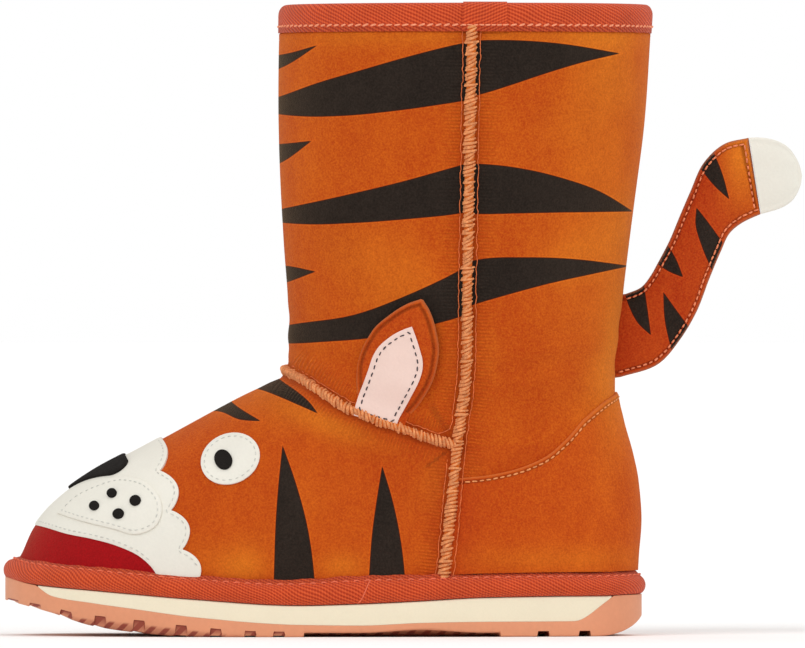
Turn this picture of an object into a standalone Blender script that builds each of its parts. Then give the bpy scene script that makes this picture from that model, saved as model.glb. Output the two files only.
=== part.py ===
"""A child's pull-on suede boot with tape-bound edges, two ears and a tail, for the left foot.

Metres, +Z up. The toe points along -Y, the outer side of the foot faces +X and the floor is z = 0.
The upper, both binding tapes, the heel counter and the ears all come from one surface, foot_surface,
which is a stack of level outlines. The sole pieces are lofts of cross-sections along the foot.
"""

import math
from typing import NamedTuple

import bmesh
import bpy
import numpy as np

# Walls and clearances
GAP = 0.0003
WALL = 0.0050  # suede with its fleece lining
TAPE = 0.0009  # woven binding tape
COUNTER = 0.0010  # suede heel counter laid over the upper
INSOLE = 0.0042
PLATE_CORNER = 0.0006  # softened edges of insole and midsole
INSOLE_CLEARANCE = 0.0016  # the insole's edge inside the wall
TAPE_PROUD = 0.0003  # the collar tape's face outside the suede
EAR_THICKNESS = 0.0024
EAR_ROOT_GAP = 0.0005
EAR_LIFT = 0.0022  # how much further the ear's tip stands off the shaft

# Heights of the boot
COLLAR_TOP = 0.1963
COLLAR_TAPE_DEPTH = 0.0080
RIM_CORNER = 0.0006
SOLE_TOP_AT_HEEL = 0.0128
SOLE_TOP_AT_TOE = 0.0170
EDGE_LEVEL = SOLE_TOP_AT_HEEL

# Plan of the foot
TOE_SWING = 0.0050  # the toe's turn towards the inner side
BALL_Y = -0.0470
TOE_Y = -0.1211
ARCH_HOLLOW = 0.0040  # how far the inner side draws in at the arch
ARCH_Y = 0.0080
ARCH_SPAN = 0.0300
ARCH_TOP = 0.0600  # the hollow is gone above this level
ARCH_FULL = 0.0200  # and whole below this one
SOLE_GROW = 0.0029  # the sole's edge outside the upper's lower edge

# Resolution
AROUND = 56
PLATE_STATIONS = 26
STATION_LEAST = 0.0010  # sections closer than this are left out
FOAM_LEAST = 0.0008  # thinnest foam
END_ANGLE = 8.0  # degrees from the tip to a plate's first section
SMALL_STEP = 1e-4

# Tread
GROOVE_DEPTH = 0.0016
GROOVE_WIDTH = 0.0030
GROOVE_DRAFT = 0.0004
TREAD_EDGE = 0.0007  # the tread's edge rises this much to the side wall
TREAD_SHARES = (-0.95, -0.5, 0.0, 0.5, 0.95)  # points across half the sole's width
CHEVRON = 0.0060  # how far a groove runs forward at the middle of the sole
CHEVRON_FADE = 0.0180
FOREFOOT_GROOVES = dict(first=-0.1085, pitch=0.0112, count=9)
HEEL_GROOVES = dict(first=0.0300, pitch=0.0133, count=3)


class Front(NamedTuple):
    """One point of the boot's front outline, seen from the side."""

    z: float
    y: float


class Back(NamedTuple):
    """One point of the boot's back outline, seen from the side."""

    z: float
    y: float


class Girth(NamedTuple):
    """One level outline: half widths, where they are reached, and how square its two ends are."""

    level: float
    lateral: float  # half width on the outer side, +X
    medial: float
    lateral_y: float
    medial_y: float
    toe_power: float
    heel_power: float
    follow: float  # share of the sole line's rise that this level takes


class SoleLine(NamedTuple):
    """Heights of the sole at one place along the foot."""

    y: float
    bottom: float
    midsole: float
    top: float


class Profile(NamedTuple):
    """A point of a ring's cross-section: its level, and how far it stands off the foot surface."""

    level: float
    out: float


class TailRow(NamedTuple):
    """A line across the tail, from its upper to its lower edge, in the boot's middle plane."""

    upper_y: float
    upper_z: float
    lower_y: float
    lower_z: float


FRONT = (
    Front(0.0120, -0.1215),
    Front(0.0180, -0.1211),
    Front(0.0230, -0.1197),
    Front(0.0258, -0.1184),
    Front(0.0332, -0.1152),
    Front(0.0390, -0.1108),
    Front(0.0440, -0.1052),
    Front(0.0500, -0.0962),
    Front(0.0568, -0.0832),
    Front(0.0643, -0.0693),
    Front(0.0710, -0.0568),
    Front(0.0754, -0.0482),
    Front(0.0784, -0.0412),
    Front(0.0806, -0.0378),
    Front(0.0850, -0.0358),
    Front(0.0960, -0.0357),
    Front(0.1230, -0.0373),
    Front(0.1640, -0.0388),
    Front(0.1963, -0.0386),
)
BACK = (
    Back(0.0120, 0.0714),
    Back(0.0180, 0.0718),
    Back(0.0250, 0.0722),
    Back(0.0360, 0.0730),
    Back(0.0480, 0.0721),
    Back(0.0560, 0.0705),
    Back(0.0670, 0.0675),
    Back(0.0750, 0.0660),
    Back(0.0820, 0.0660),
    Back(0.0930, 0.0671),
    Back(0.1230, 0.0705),
    Back(0.1600, 0.0752),
    Back(0.1963, 0.0777),
)
GIRTH = (
    Girth(0.0128, 0.0375, 0.0360, -0.042, -0.052, 2.30, 2.60, 1.00),
    Girth(0.0180, 0.0378, 0.0363, -0.042, -0.052, 2.30, 2.60, 1.00),
    Girth(0.0250, 0.0378, 0.0363, -0.041, -0.050, 2.25, 2.60, 0.85),
    Girth(0.0400, 0.0365, 0.0352, -0.036, -0.044, 2.15, 2.50, 0.30),
    Girth(0.0550, 0.0346, 0.0337, -0.022, -0.026, 2.05, 2.40, 0.00),
    Girth(0.0700, 0.0340, 0.0335, -0.003, -0.004, 2.00, 2.20, 0.00),
    Girth(0.0850, 0.0354, 0.0351, 0.013, 0.013, 2.00, 2.10, 0.00),
    Girth(0.1100, 0.0375, 0.0373, 0.016, 0.016, 2.05, 2.05, 0.00),
    Girth(0.1500, 0.0412, 0.0412, 0.018, 0.018, 2.10, 2.10, 0.00),
    Girth(0.1963, 0.0440, 0.0440, 0.020, 0.020, 2.10, 2.10, 0.00),
)
SOLE_LINES = (
    SoleLine(-0.1240, 0.0122, 0.0250, 0.0182),
    SoleLine(-0.1146, 0.0090, 0.0162, 0.0158),
    SoleLine(-0.1090, 0.0072, 0.0124, 0.0152),
    SoleLine(-0.0970, 0.0034, 0.0104, 0.0142),
    SoleLine(-0.0830, 0.0013, 0.0085, 0.0130),
    SoleLine(-0.0650, 0.0000, 0.0061, 0.0113),
    SoleLine(-0.0320, 0.0000, 0.0037, 0.0090),
    SoleLine(-0.0130, 0.0000, 0.0035, 0.0090),
    SoleLine(0.0060, 0.0010, 0.0043, 0.0099),
    SoleLine(0.0240, 0.0000, 0.0046, 0.0110),
    SoleLine(0.0530, 0.0000, 0.0047, 0.0121),
    SoleLine(0.0625, 0.0000, 0.0103, 0.0124),
    SoleLine(0.0690, 0.0012, 0.0160, 0.0127),
    SoleLine(0.0742, 0.0048, 0.0220, 0.0128),
)

# The upper's lower edge turns out into a lip, which the foot tape wraps. Heights are above the sole.
LIP = (
    Profile(0.0004, 0.0006),
    Profile(0.0016, 0.0010),
    Profile(0.0022, 0.0021),
    Profile(0.0034, 0.0027),
    Profile(0.0047, 0.0021),
    Profile(0.0058, 0.0010),
    Profile(0.0069, 0.0000),
)
FOOT_TAPE = (
    Profile(0.0076, 0.0011),
    Profile(0.0065, 0.0023),
    Profile(0.0051, 0.0034),
    Profile(0.0034, 0.0039),
    Profile(0.0018, 0.0035),
    Profile(0.0009, 0.0027),
    Profile(0.0006, 0.0016),
    Profile(0.0013, 0.0014),
    Profile(0.0018, 0.0025),
    Profile(0.0034, 0.0031),
    Profile(0.0050, 0.0025),
    Profile(0.0062, 0.0013),
    Profile(0.0075, 0.0003),
)
OUTER_LEVELS = (
    0.0240, 0.0300, 0.0370, 0.0440, 0.0510, 0.0580, 0.0640, 0.0690, 0.0728, 0.0756, 0.0780,
    0.0802, 0.0826, 0.0856, 0.0900, 0.1000, 0.1150, 0.1350, 0.1560, 0.1740,
)
INNER_LEVELS = (
    0.1500, 0.1250, 0.1050, 0.0920, 0.0856, 0.0818, 0.0784, 0.0740, 0.0670, 0.0580,
    0.0480, 0.0380, 0.0280, 0.0200,
)
COUNTER_TOP = {  # level of its upper edge, by degrees from the middle of the back
    0: 0.0746, 16: 0.0723, 31: 0.0668, 41: 0.0593, 48: 0.0540, 57: 0.0497, 64: 0.0475,
}
COUNTER_STEPS = 10  # each side of the back, in steps of the upper's own facets
COUNTER_ROWS = 6
COUNTER_FOOT = EDGE_LEVEL + 0.0083  # just above the foot tape

EAR_BASE = (-0.0064, 0.0708)  # y, z of the middle of its root, on the vamp seam
EAR_TIP = (0.0062, 0.1047)
EAR_HALF_WIDTHS = {  # by share of its length
    0.0: 0.0084, 0.15: 0.0103, 0.4: 0.0116, 0.6: 0.0106, 0.8: 0.0070, 0.93: 0.0034, 1.0: 0.0008,
}
EAR_ROWS = 10
EAR_COLUMNS = 6

TAIL = (  # the last row is the joint with the pale tip
    TailRow(0.0687, 0.1061, 0.0666, 0.0802),
    TailRow(0.0740, 0.1085, 0.0796, 0.0849),
    TailRow(0.0765, 0.1116, 0.0858, 0.0921),
    TailRow(0.0790, 0.1160, 0.0908, 0.1005),
    TailRow(0.0824, 0.1225, 0.0949, 0.1110),
    TailRow(0.0858, 0.1306, 0.0983, 0.1191),
    TailRow(0.0889, 0.1378, 0.1014, 0.1253),
    TailRow(0.0933, 0.1471, 0.1051, 0.1283),
    TailRow(0.0995, 0.1527, 0.1079, 0.1297),
    TailRow(0.1070, 0.1546, 0.1107, 0.1309),
)
TAIL_STEPS = 22
TAIL_EDGE = 0.0030  # two layers of suede at the sewn edge
TAIL_MIDDLE = 0.0050
TAIL_OUTLINE = (  # share of the way from lower to upper edge, and thickness, round one section
    (0.0, -TAIL_EDGE), (0.2, -0.9 * TAIL_MIDDLE), (0.5, -TAIL_MIDDLE), (0.8, -0.9 * TAIL_MIDDLE),
    (1.0, -TAIL_EDGE), (1.0, TAIL_EDGE), (0.8, 0.9 * TAIL_MIDDLE), (0.5, TAIL_MIDDLE),
    (0.2, 0.9 * TAIL_MIDDLE), (0.0, TAIL_EDGE),
)
TAIL_ROOT_GAP = 0.0005
TIP_END = np.array([0.1247, 0.1411])  # y, z of its far end
TIP_STEPS = 8
TIP_JOINT_GAP = 0.0004
TIP_POWER = 2.2  # how square the round end is
TIP_LAST = 0.985  # share of the tip's length at its last section

# Colours from the photograph, as linear red, green and blue, with a roughness
FINISHES = {
    "suede": ((0.600, 0.118, 0.008), 0.95),
    "tape": ((0.520, 0.072, 0.020), 0.85),
    "rubber": ((0.780, 0.250, 0.120), 0.60),
    "foam": ((0.930, 0.790, 0.550), 0.70),
    "fleece": ((0.850, 0.760, 0.600), 1.00),
    "felt": ((0.900, 0.880, 0.780), 0.90),
}


def clear_scene():
    for old in list(bpy.data.objects):
        bpy.data.objects.remove(old, do_unlink=True)


def smooth(points, at):
    """A cubic through (place, value) points that never overshoots them, held level past both ends."""
    places, values = (np.array(column, float) for column in zip(*points))
    at = np.clip(np.asarray(at, float), places[0], places[-1])
    steps = np.diff(places)
    slopes = np.diff(values) / steps
    before, after = slopes[:-1], slopes[1:]
    near, far = steps[:-1], steps[1:]
    rising = before * after > 0
    safe_before = np.where(rising, before, 1.0)
    safe_after = np.where(rising, after, 1.0)
    mean = 3 * (near + far) / ((2 * far + near) / safe_before + (far + 2 * near) / safe_after)
    tangents = np.concatenate([slopes[:1], np.where(rising, mean, 0.0), slopes[-1:]])
    i = np.clip(np.searchsorted(places, at, side="right") - 1, 0, len(steps) - 1)
    t = (at - places[i]) / steps[i]
    start = (1 + 2 * t) * (1 - t) ** 2 * values[i] + t * (1 - t) ** 2 * steps[i] * tangents[i]
    end = t * t * (3 - 2 * t) * values[i + 1] + t * t * (t - 1) * steps[i] * tangents[i + 1]
    return start + end


def girth(column, level):
    return smooth([(row.level, getattr(row, column)) for row in GIRTH], level)


def sole_line(column, y):
    return smooth([(row.y, getattr(row, column)) for row in SOLE_LINES], y)


def toe_swing(y):
    """How far the foot's middle line has turned to the inner side at y."""
    share = np.clip((BALL_Y - y) / (BALL_Y - TOE_Y), 0.0, 1.2)
    return TOE_SWING * share**2


def arch_hollow(y, level):
    """How far the inner side draws in, most at the sole's edge and gone above the foot."""
    fade = np.clip((ARCH_TOP - level) / (ARCH_TOP - ARCH_FULL), 0.0, 1.0)
    return ARCH_HOLLOW * fade * np.exp(-(((y - ARCH_Y) / ARCH_SPAN) ** 2))


def foot_surface(turn, level):
    """A point of the boot's outside. turn is 0 at the toe, 0.25 at the outer side, 0.5 at the heel."""
    turn, level = np.broadcast_arrays(np.asarray(turn, float), np.asarray(level, float))
    along, across = np.cos(2 * math.pi * turn), np.sin(2 * math.pi * turn)
    follow = girth("follow", level)
    toe_level = level + follow * (SOLE_TOP_AT_TOE - SOLE_TOP_AT_HEEL)
    toe = smooth(FRONT, toe_level)
    heel = smooth(BACK, level)
    lateral = across >= 0
    half = np.where(lateral, girth("lateral", level), girth("medial", level))
    widest = np.where(lateral, girth("lateral_y", level), girth("medial_y", level))
    forward = along >= 0
    power = np.where(forward, girth("toe_power", level), girth("heel_power", level))
    reach = np.where(forward, widest - toe, heel - widest)
    y = widest - np.sign(along) * reach * np.abs(along) ** (2 / power)
    x = np.sign(across) * half * np.abs(across) ** (2 / power)
    x = x + np.where(lateral, 0.0, arch_hollow(y, level) * np.abs(across)) - toe_swing(y)
    z = level + follow * (sole_line("top", y) - SOLE_TOP_AT_HEEL)
    return np.stack([x, y, z], axis=-1)


def off_surface(turn, level, out):
    """The foot surface's point moved out along its normal."""
    ahead = foot_surface(turn + SMALL_STEP, level) - foot_surface(turn - SMALL_STEP, level)
    above = foot_surface(turn, level + SMALL_STEP) - foot_surface(turn, level - SMALL_STEP)
    normal = np.cross(ahead, above)
    normal /= np.linalg.norm(normal, axis=-1, keepdims=True)
    return foot_surface(turn, level) + normal * np.asarray(out, float)[..., None]


def finish(name):
    """The material of that name, made the first time that it is asked for."""
    made = bpy.data.materials.get(name)
    if made is None:
        colour, roughness = FINISHES[name]
        made = bpy.data.materials.new(name)
        made.use_nodes = True
        shader = made.node_tree.nodes["Principled BSDF"]
        shader.inputs["Base Color"].default_value = (*colour, 1.0)
        shader.inputs["Roughness"].default_value = roughness
        shader.inputs["Metallic"].default_value = 0.0
    return made


def add_part(name, build, material):
    """A named object whose mesh the build function makes in a bmesh."""
    shape = bmesh.new()
    build(shape)
    bmesh.ops.recalc_face_normals(shape, faces=shape.faces)
    mesh = bpy.data.meshes.new(name)
    shape.to_mesh(mesh)
    shape.free()
    mesh.shade_smooth()
    mesh.set_sharp_from_angle(angle=math.radians(40))
    mesh.materials.append(finish(material))
    part = bpy.data.objects.new(name, mesh)
    bpy.data.collections["boot"].objects.link(part)
    part.parent = bpy.data.objects["boot_frame"]
    return part


def bridge(shape, first, second, closed):
    """Faces between two rows of vertices."""
    count = len(first)
    for i in range(count if closed else count - 1):
        j = (i + 1) % count
        shape.faces.new((first[i], first[j], second[j], second[i]))


def loft(shape, sections):
    """A capped solid through closed sections that all have the same number of points."""
    rows = [[shape.verts.new(point) for point in section] for section in sections]
    for first, second in zip(rows, rows[1:]):
        bridge(shape, first, second, closed=True)
    shape.faces.new(rows[0])
    shape.faces.new(reversed(rows[-1]))


def swept_ring(profile):
    """A build function for the closed cross-section, carried once round the boot."""
    turns = np.arange(AROUND) / AROUND

    def build(shape):
        rows = []
        for place in profile:
            points = off_surface(turns, np.full(AROUND, place.level), np.full(AROUND, place.out))
            rows.append([shape.verts.new(point) for point in points])
        for first, second in zip(rows, rows[1:] + rows[:1]):
            bridge(shape, first, second, closed=True)

    return build


def thick_patch(inner_points, outer_points):
    """A build function for two matching grids of points, joined along their rims."""

    def build(shape):
        sheets = []
        for grid in (inner_points, outer_points):
            sheets.append([[shape.verts.new(point) for point in row] for row in grid])
        for sheet in sheets:
            for first, second in zip(sheet, sheet[1:]):
                bridge(shape, first, second, closed=False)
        rims = [
            sheet[0] + [row[-1] for row in sheet[1:-1]] + sheet[-1][::-1] + [row[0] for row in sheet[-2:0:-1]]
            for sheet in sheets
        ]
        bridge(shape, rims[0], rims[1], closed=True)

    return build


def above_sole(profile):
    return [Profile(EDGE_LEVEL + place.level, place.out) for place in profile]


def add_upper():
    """The hollow upper: lip, outside, thinned collar edge, then the inside back down to the sole."""
    outer_face = TAPE_PROUD - TAPE - GAP
    inner_face = -(WALL - TAPE - GAP)
    ledge = COLLAR_TOP - COLLAR_TAPE_DEPTH - GAP
    rim = COLLAR_TOP - TAPE - GAP
    collar = [
        Profile(ledge - GAP, 0.0),
        Profile(ledge, outer_face),
        Profile(rim - RIM_CORNER, outer_face),
        Profile(rim, outer_face - RIM_CORNER),
        Profile(rim, inner_face + RIM_CORNER),
        Profile(rim - RIM_CORNER, inner_face),
        Profile(ledge, inner_face),
        Profile(ledge - TAPE, -WALL),
    ]
    outside = above_sole(LIP) + [Profile(level, 0.0) for level in OUTER_LEVELS]
    inside = [Profile(level, -WALL) for level in INNER_LEVELS]
    build_wall = swept_ring(outside + collar + inside + [Profile(EDGE_LEVEL + GAP, -WALL)])

    def build(shape):
        build_wall(shape)
        for vertex in shape.verts:
            lowest = float(sole_line("top", vertex.co.y)) + GAP
            vertex.co.z = max(vertex.co.z, lowest)

    return add_part("upper", build, "suede")


def add_collar_tape():
    """Tape folded over the collar's edge."""
    foot = COLLAR_TOP - COLLAR_TAPE_DEPTH
    profile = [
        Profile(foot, TAPE_PROUD - TAPE),
        Profile(foot, TAPE_PROUD),
        Profile(COLLAR_TOP - TAPE, TAPE_PROUD),
        Profile(COLLAR_TOP, TAPE_PROUD - TAPE),
        Profile(COLLAR_TOP, TAPE - WALL),
        Profile(COLLAR_TOP - TAPE, -WALL),
        Profile(foot, -WALL),
        Profile(foot, TAPE - WALL),
        Profile(COLLAR_TOP - TAPE, TAPE - WALL),
        Profile(COLLAR_TOP - TAPE, TAPE_PROUD - TAPE),
    ]
    return add_part("collar_binding", swept_ring(profile), "tape")


def add_foot_tape():
    """Tape rolled round the upper's lower lip, all the way along the sole."""
    return add_part("foot_binding", swept_ring(above_sole(FOOT_TAPE)), "tape")


def add_heel_counter():
    """A suede overlay round the heel, highest at the back, from one side seam to the other."""
    turns = 0.5 + np.arange(-COUNTER_STEPS, COUNTER_STEPS + 1) / AROUND
    tops = smooth(sorted(COUNTER_TOP.items()), np.abs(turns - 0.5) * 360)
    levels = COUNTER_FOOT + (tops - COUNTER_FOOT) * np.linspace(0, 1, COUNTER_ROWS + 1)[:, None]
    turn_grid = np.broadcast_to(turns, levels.shape)
    sheets = [off_surface(turn_grid, levels, np.full(levels.shape, out)) for out in (GAP, GAP + COUNTER)]
    return add_part("heel_counter", thick_patch(*sheets), "suede")


def turn_at(y, level, side):
    """The turn at which the level outline passes y, on one side of the boot."""
    low, high = 0.0, 0.5
    for _ in range(40):
        middle = (low + high) / 2
        if foot_surface(middle if side > 0 else 1 - middle, level)[1] < y:
            low = middle
        else:
            high = middle
    return low if side > 0 else 1 - low


def add_ear(name, side):
    """A leaf of suede, held at its root in the vamp seam and lying along the shaft."""
    base, tip = np.array(EAR_BASE), np.array(EAR_TIP)
    across = np.array([(tip - base)[1], -(tip - base)[0]])
    across /= np.linalg.norm(across)
    sheets = []
    for layer in (0.0, EAR_THICKNESS):
        grid = []
        for share in np.linspace(0, 1, EAR_ROWS + 1):
            half = float(smooth(sorted(EAR_HALF_WIDTHS.items()), share))
            out = EAR_ROOT_GAP + EAR_LIFT * share**2 + layer
            row = []
            for place in np.linspace(-1, 1, EAR_COLUMNS + 1):
                y, z = base + share * (tip - base) + place * half * across
                row.append(off_surface(turn_at(y, z, side), z, out))
            grid.append(row)
        sheets.append(grid)
    return add_part(name, thick_patch(*sheets), "suede")


def plate_stations(toe, heel):
    """Places along the foot, closest together near the round ends."""
    angles = np.radians(np.linspace(END_ANGLE, 180 - END_ANGLE, PLATE_STATIONS))
    return (toe + heel) / 2 - (heel - toe) / 2 * np.cos(angles)


def edge_x(y, side, grow):
    """Where the sole's outline, grown by that much, crosses y on one side."""
    name = "lateral" if side > 0 else "medial"
    half = float(girth(name, EDGE_LEVEL)) + grow
    widest = float(girth(name + "_y", EDGE_LEVEL))
    ahead = y < widest
    power = float(girth("toe_power" if ahead else "heel_power", EDGE_LEVEL))
    end = sole_end("toe", grow) if ahead else sole_end("heel", grow)
    share = min(1.0, abs(y - widest) / abs(end - widest))
    reach = half * (1 - share**power) ** (1 / power)
    hollow = 0.0 if side > 0 else float(arch_hollow(y, EDGE_LEVEL)) * reach / half
    return side * (reach - hollow) - float(toe_swing(y))


def sole_end(which, grow):
    if which == "toe":
        return float(smooth(FRONT, SOLE_TOP_AT_TOE)) - grow
    return float(smooth(BACK, SOLE_TOP_AT_HEEL)) + grow


def add_plate(name, grow, bottom, top, stations, material):
    """A plate with the foot's outline, between two heights that change along the foot."""

    def build(shape):
        sections = []
        for y in stations:
            low, high = bottom(y), top(y)
            left, right = edge_x(y, -1, grow), edge_x(y, 1, grow)
            soft = min(PLATE_CORNER, (high - low) / 3)
            outline = [
                (left + soft, low), ((left + right) / 2, low), (right - soft, low), (right, low + soft),
                (right, high - soft), (right - soft, high), ((left + right) / 2, high), (left + soft, high),
                (left, high - soft), (left, low + soft),
            ]
            sections.append([(x, y, z) for x, z in outline])
        loft(shape, sections)

    return add_part(name, build, material)


def add_insole():
    grow = -(WALL + INSOLE_CLEARANCE)
    return add_plate(
        "insole",
        grow,
        lambda y: float(sole_line("top", y)) + GAP,
        lambda y: float(sole_line("top", y)) + GAP + INSOLE,
        plate_stations(sole_end("toe", grow), sole_end("heel", grow)),
        "fleece",
    )


def foam_ends():
    """Where the foam wedge starts and stops along the foot, still thick enough to be cut."""
    reach = np.linspace(sole_end("toe", SOLE_GROW), sole_end("heel", SOLE_GROW), 400)
    thick = reach[sole_line("top", reach) - sole_line("midsole", reach) > FOAM_LEAST]
    return thick[0], thick[-1]


def sole_stations():
    """Places along the sole that foam and rubber share, so that their meeting faces run parallel."""
    first, last = foam_ends()
    steps = [first - 2 * GAP, first - GAP, first, last, last + GAP, last + 2 * GAP]
    spread = plate_stations(sole_end("toe", SOLE_GROW), sole_end("heel", SOLE_GROW))
    apart = [y for y in spread if min(abs(y - step) for step in steps) > STATION_LEAST]
    return np.array(sorted(steps + apart))


def add_midsole():
    """A foam wedge let into the outsole, which shows as a band along each side."""
    first, last = foam_ends()
    return add_plate(
        "midsole",
        SOLE_GROW,
        lambda y: float(sole_line("midsole", y)),
        lambda y: float(sole_line("top", y)),
        [y for y in sole_stations() if first <= y <= last],
        "foam",
    )


def groove_edges():
    """(place, depth share) along the foot for every tread groove."""
    for row in (FOREFOOT_GROOVES, HEEL_GROOVES):
        for i in range(row["count"]):
            start = row["first"] + i * row["pitch"]
            end = start + GROOVE_WIDTH
            yield from (
                (start, 0.0), (start + GROOVE_DRAFT, 1.0), (end - GROOVE_DRAFT, 1.0), (end, 0.0),
            )


def add_outsole():
    """The rubber sole: toe spring, arch, raised toe and heel that hold the foam, and a grooved tread."""
    toe, heel = sole_end("toe", SOLE_GROW), sole_end("heel", SOLE_GROW)
    shared = sole_stations()
    first, last = foam_ends()
    under_foam = (shared > first - 1.5 * GAP) & (shared < last + 1.5 * GAP)
    tops = np.where(under_foam, sole_line("midsole", shared) - GAP, sole_line("top", shared))
    places, cuts = zip(*groove_edges())

    def build(shape):
        sections = []
        for y in sorted([*shared, *places]):
            cut = GROOVE_DEPTH * float(np.interp(y, places, cuts, left=0.0, right=0.0))
            edge_low = float(sole_line("bottom", y)) + cut + TREAD_EDGE
            high = float(np.interp(y, shared, tops))
            left, right = edge_x(y, -1, SOLE_GROW), edge_x(y, 1, SOLE_GROW)
            middle, half = (left + right) / 2, (right - left) / 2
            fade = min(1.0, min(y - toe, heel - y) / CHEVRON_FADE)
            bottom = []
            for share in TREAD_SHARES:
                forward = y - CHEVRON * fade * (1 - abs(share))
                bottom.append((middle + share * half, forward, float(sole_line("bottom", forward)) + cut))
            sections.append(
                bottom
                + [(right, y, edge_low), (right, y, high), (middle, y, high)]
                + [(left, y, high), (left, y, edge_low)]
            )
        loft(shape, sections)

    return add_part("outsole", build, "rubber")


def tail_edge(which, place):
    """(y, z) of the tail's upper or lower edge, by row of its table."""
    rows = range(len(TAIL))
    return np.array([
        float(smooth([(i, getattr(TAIL[i], which + axis)) for i in rows], place)) for axis in ("_y", "_z")
    ])


def tail_section(lower, upper):
    """A flat, softly padded section between two edges, in the boot's middle plane."""
    points = [(thickness / 2, lower + share * (upper - lower)) for share, thickness in TAIL_OUTLINE]
    return [(x, y, z) for x, (y, z) in points]


def add_tail():
    """The tail, from the back of the shaft to the joint with its tip."""
    sections = []
    for place in np.linspace(0, len(TAIL) - 1, TAIL_STEPS + 1):
        sections.append(tail_section(tail_edge("lower", place), tail_edge("upper", place)))
    sections[0] = [(x, float(smooth(BACK, z)) + TAIL_ROOT_GAP, z) for x, _, z in sections[0]]
    return add_part("tail", lambda shape: loft(shape, sections), "suede")


def add_tail_tip():
    """The pale round end, sewn on to the tail."""
    joint = len(TAIL) - 1
    lower, upper = tail_edge("lower", joint), tail_edge("upper", joint)
    half = (upper - lower) / 2
    outward = np.array([half[1], -half[0]]) / np.linalg.norm(half)
    start = (lower + upper) / 2 + outward * TIP_JOINT_GAP
    sections = []
    for share in np.sin(np.linspace(0, math.asin(TIP_LAST), TIP_STEPS + 1)):
        middle = start + share * (TIP_END - start)
        reach = half * (1 - share**TIP_POWER) ** (1 / TIP_POWER)
        sections.append(tail_section(middle - reach, middle + reach))
    return add_part("tail_tip", lambda shape: loft(shape, sections), "felt")


def main():
    clear_scene()
    group = bpy.data.collections.new("boot")
    bpy.context.scene.collection.children.link(group)
    frame = bpy.data.objects.new("boot_frame", None)
    group.objects.link(frame)
    add_outsole()
    add_midsole()
    add_insole()
    add_upper()
    add_foot_tape()
    add_collar_tape()
    add_heel_counter()
    add_ear("ear_lateral", 1)
    add_ear("ear_medial", -1)
    add_tail()
    add_tail_tip()


main()
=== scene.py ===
"""Looks of a child's tall pull-on suede boot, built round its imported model.

Metres, +Z up. The toe points along -Y and the outer side of the left foot faces +X.
Soft pieces repeat the model's own foot surface at a finer step, so each lies where its node lies.
"""

import math

import bpy
import numpy as np
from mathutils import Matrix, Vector, noise


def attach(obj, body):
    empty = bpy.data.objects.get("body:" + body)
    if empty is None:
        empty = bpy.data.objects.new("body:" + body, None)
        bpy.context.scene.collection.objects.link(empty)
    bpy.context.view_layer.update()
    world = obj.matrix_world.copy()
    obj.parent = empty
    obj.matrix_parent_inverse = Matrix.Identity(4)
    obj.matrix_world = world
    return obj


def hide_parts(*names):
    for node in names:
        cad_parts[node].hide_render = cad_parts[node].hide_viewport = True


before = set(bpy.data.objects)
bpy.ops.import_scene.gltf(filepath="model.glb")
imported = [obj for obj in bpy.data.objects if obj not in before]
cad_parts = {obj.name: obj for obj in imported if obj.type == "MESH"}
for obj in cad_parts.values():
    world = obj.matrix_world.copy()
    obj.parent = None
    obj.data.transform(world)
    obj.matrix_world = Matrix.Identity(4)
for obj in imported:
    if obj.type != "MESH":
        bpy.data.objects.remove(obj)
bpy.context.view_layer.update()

bl_info = {
    "name": "Striped suede boot",
    "version": (1, 0, 0),
    "blender": (4, 5, 0),
    "location": "3D View > Sidebar > Boot",
    "description": "Builds the visible pieces of a child's striped suede boot round its packed model",
    "category": "Object",
}

MM = 0.001

# Sizes in metres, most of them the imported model's own
GAP = 0.0003
WALL = 0.0050
TAPE = 0.0009
COUNTER = 0.0010
INSOLE = 0.0042
INSOLE_CLEARANCE = 0.0016
TAPE_PROUD = 0.0003
EAR_THICKNESS = 0.0024
EAR_ROOT_GAP = 0.0005
EAR_LIFT = 0.0022
EAR_CREASE = 0.0014  # from its edge
EAR_STITCH = 0.0015
COLLAR_TOP = 0.1963
COLLAR_TAPE_DEPTH = 0.0088
COLLAR_STITCH = COLLAR_TOP - COLLAR_TAPE_DEPTH + 0.0020
COLLAR_TUCK = 0.0030  # how far below the rim the suede ends
SOLE_TOP_AT_HEEL = 0.0128
SOLE_TOP_AT_TOE = 0.0170
EDGE_LEVEL = SOLE_TOP_AT_HEEL
TOE_SWING = 0.0050
BALL_Y = -0.0470
TOE_Y = -0.1211
ARCH_HOLLOW = 0.0040
ARCH_Y = 0.0080
ARCH_SPAN = 0.0300
ARCH_TOP = 0.0600
ARCH_FULL = 0.0200
SOLE_GROW = 0.0029
SMALL_STEP = 1e-4
GROOVE_MIDDLE = 0.0004
GROOVE_WIDTH = 0.0038
GROOVE_DRAFT = 0.0003
NOTCH_REACH = 0.0012
NOTCH_WALLS = (0.0004, 0.0060)  # how far in a notch's back wall stands, in front and at the heel
NOTCH_BACK = 0.0003
ROOF_EDGE = 0.00005
SOLE_SOFT = 0.0002
LUG_PITCH = 0.0048
LUG_SLANT = -1.0
LUG_LENGTH = 0.0060
LUG_FADE = 0.0020
CHEVRON = 0.0060
CHEVRON_FADE = 0.0180
GROOVE_CENTRES = (
    -0.1214, -0.1143, -0.1046, -0.0939, -0.0818, -0.0687, -0.0580, -0.0473, -0.0384, 0.0435, 0.0564,
)
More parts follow.
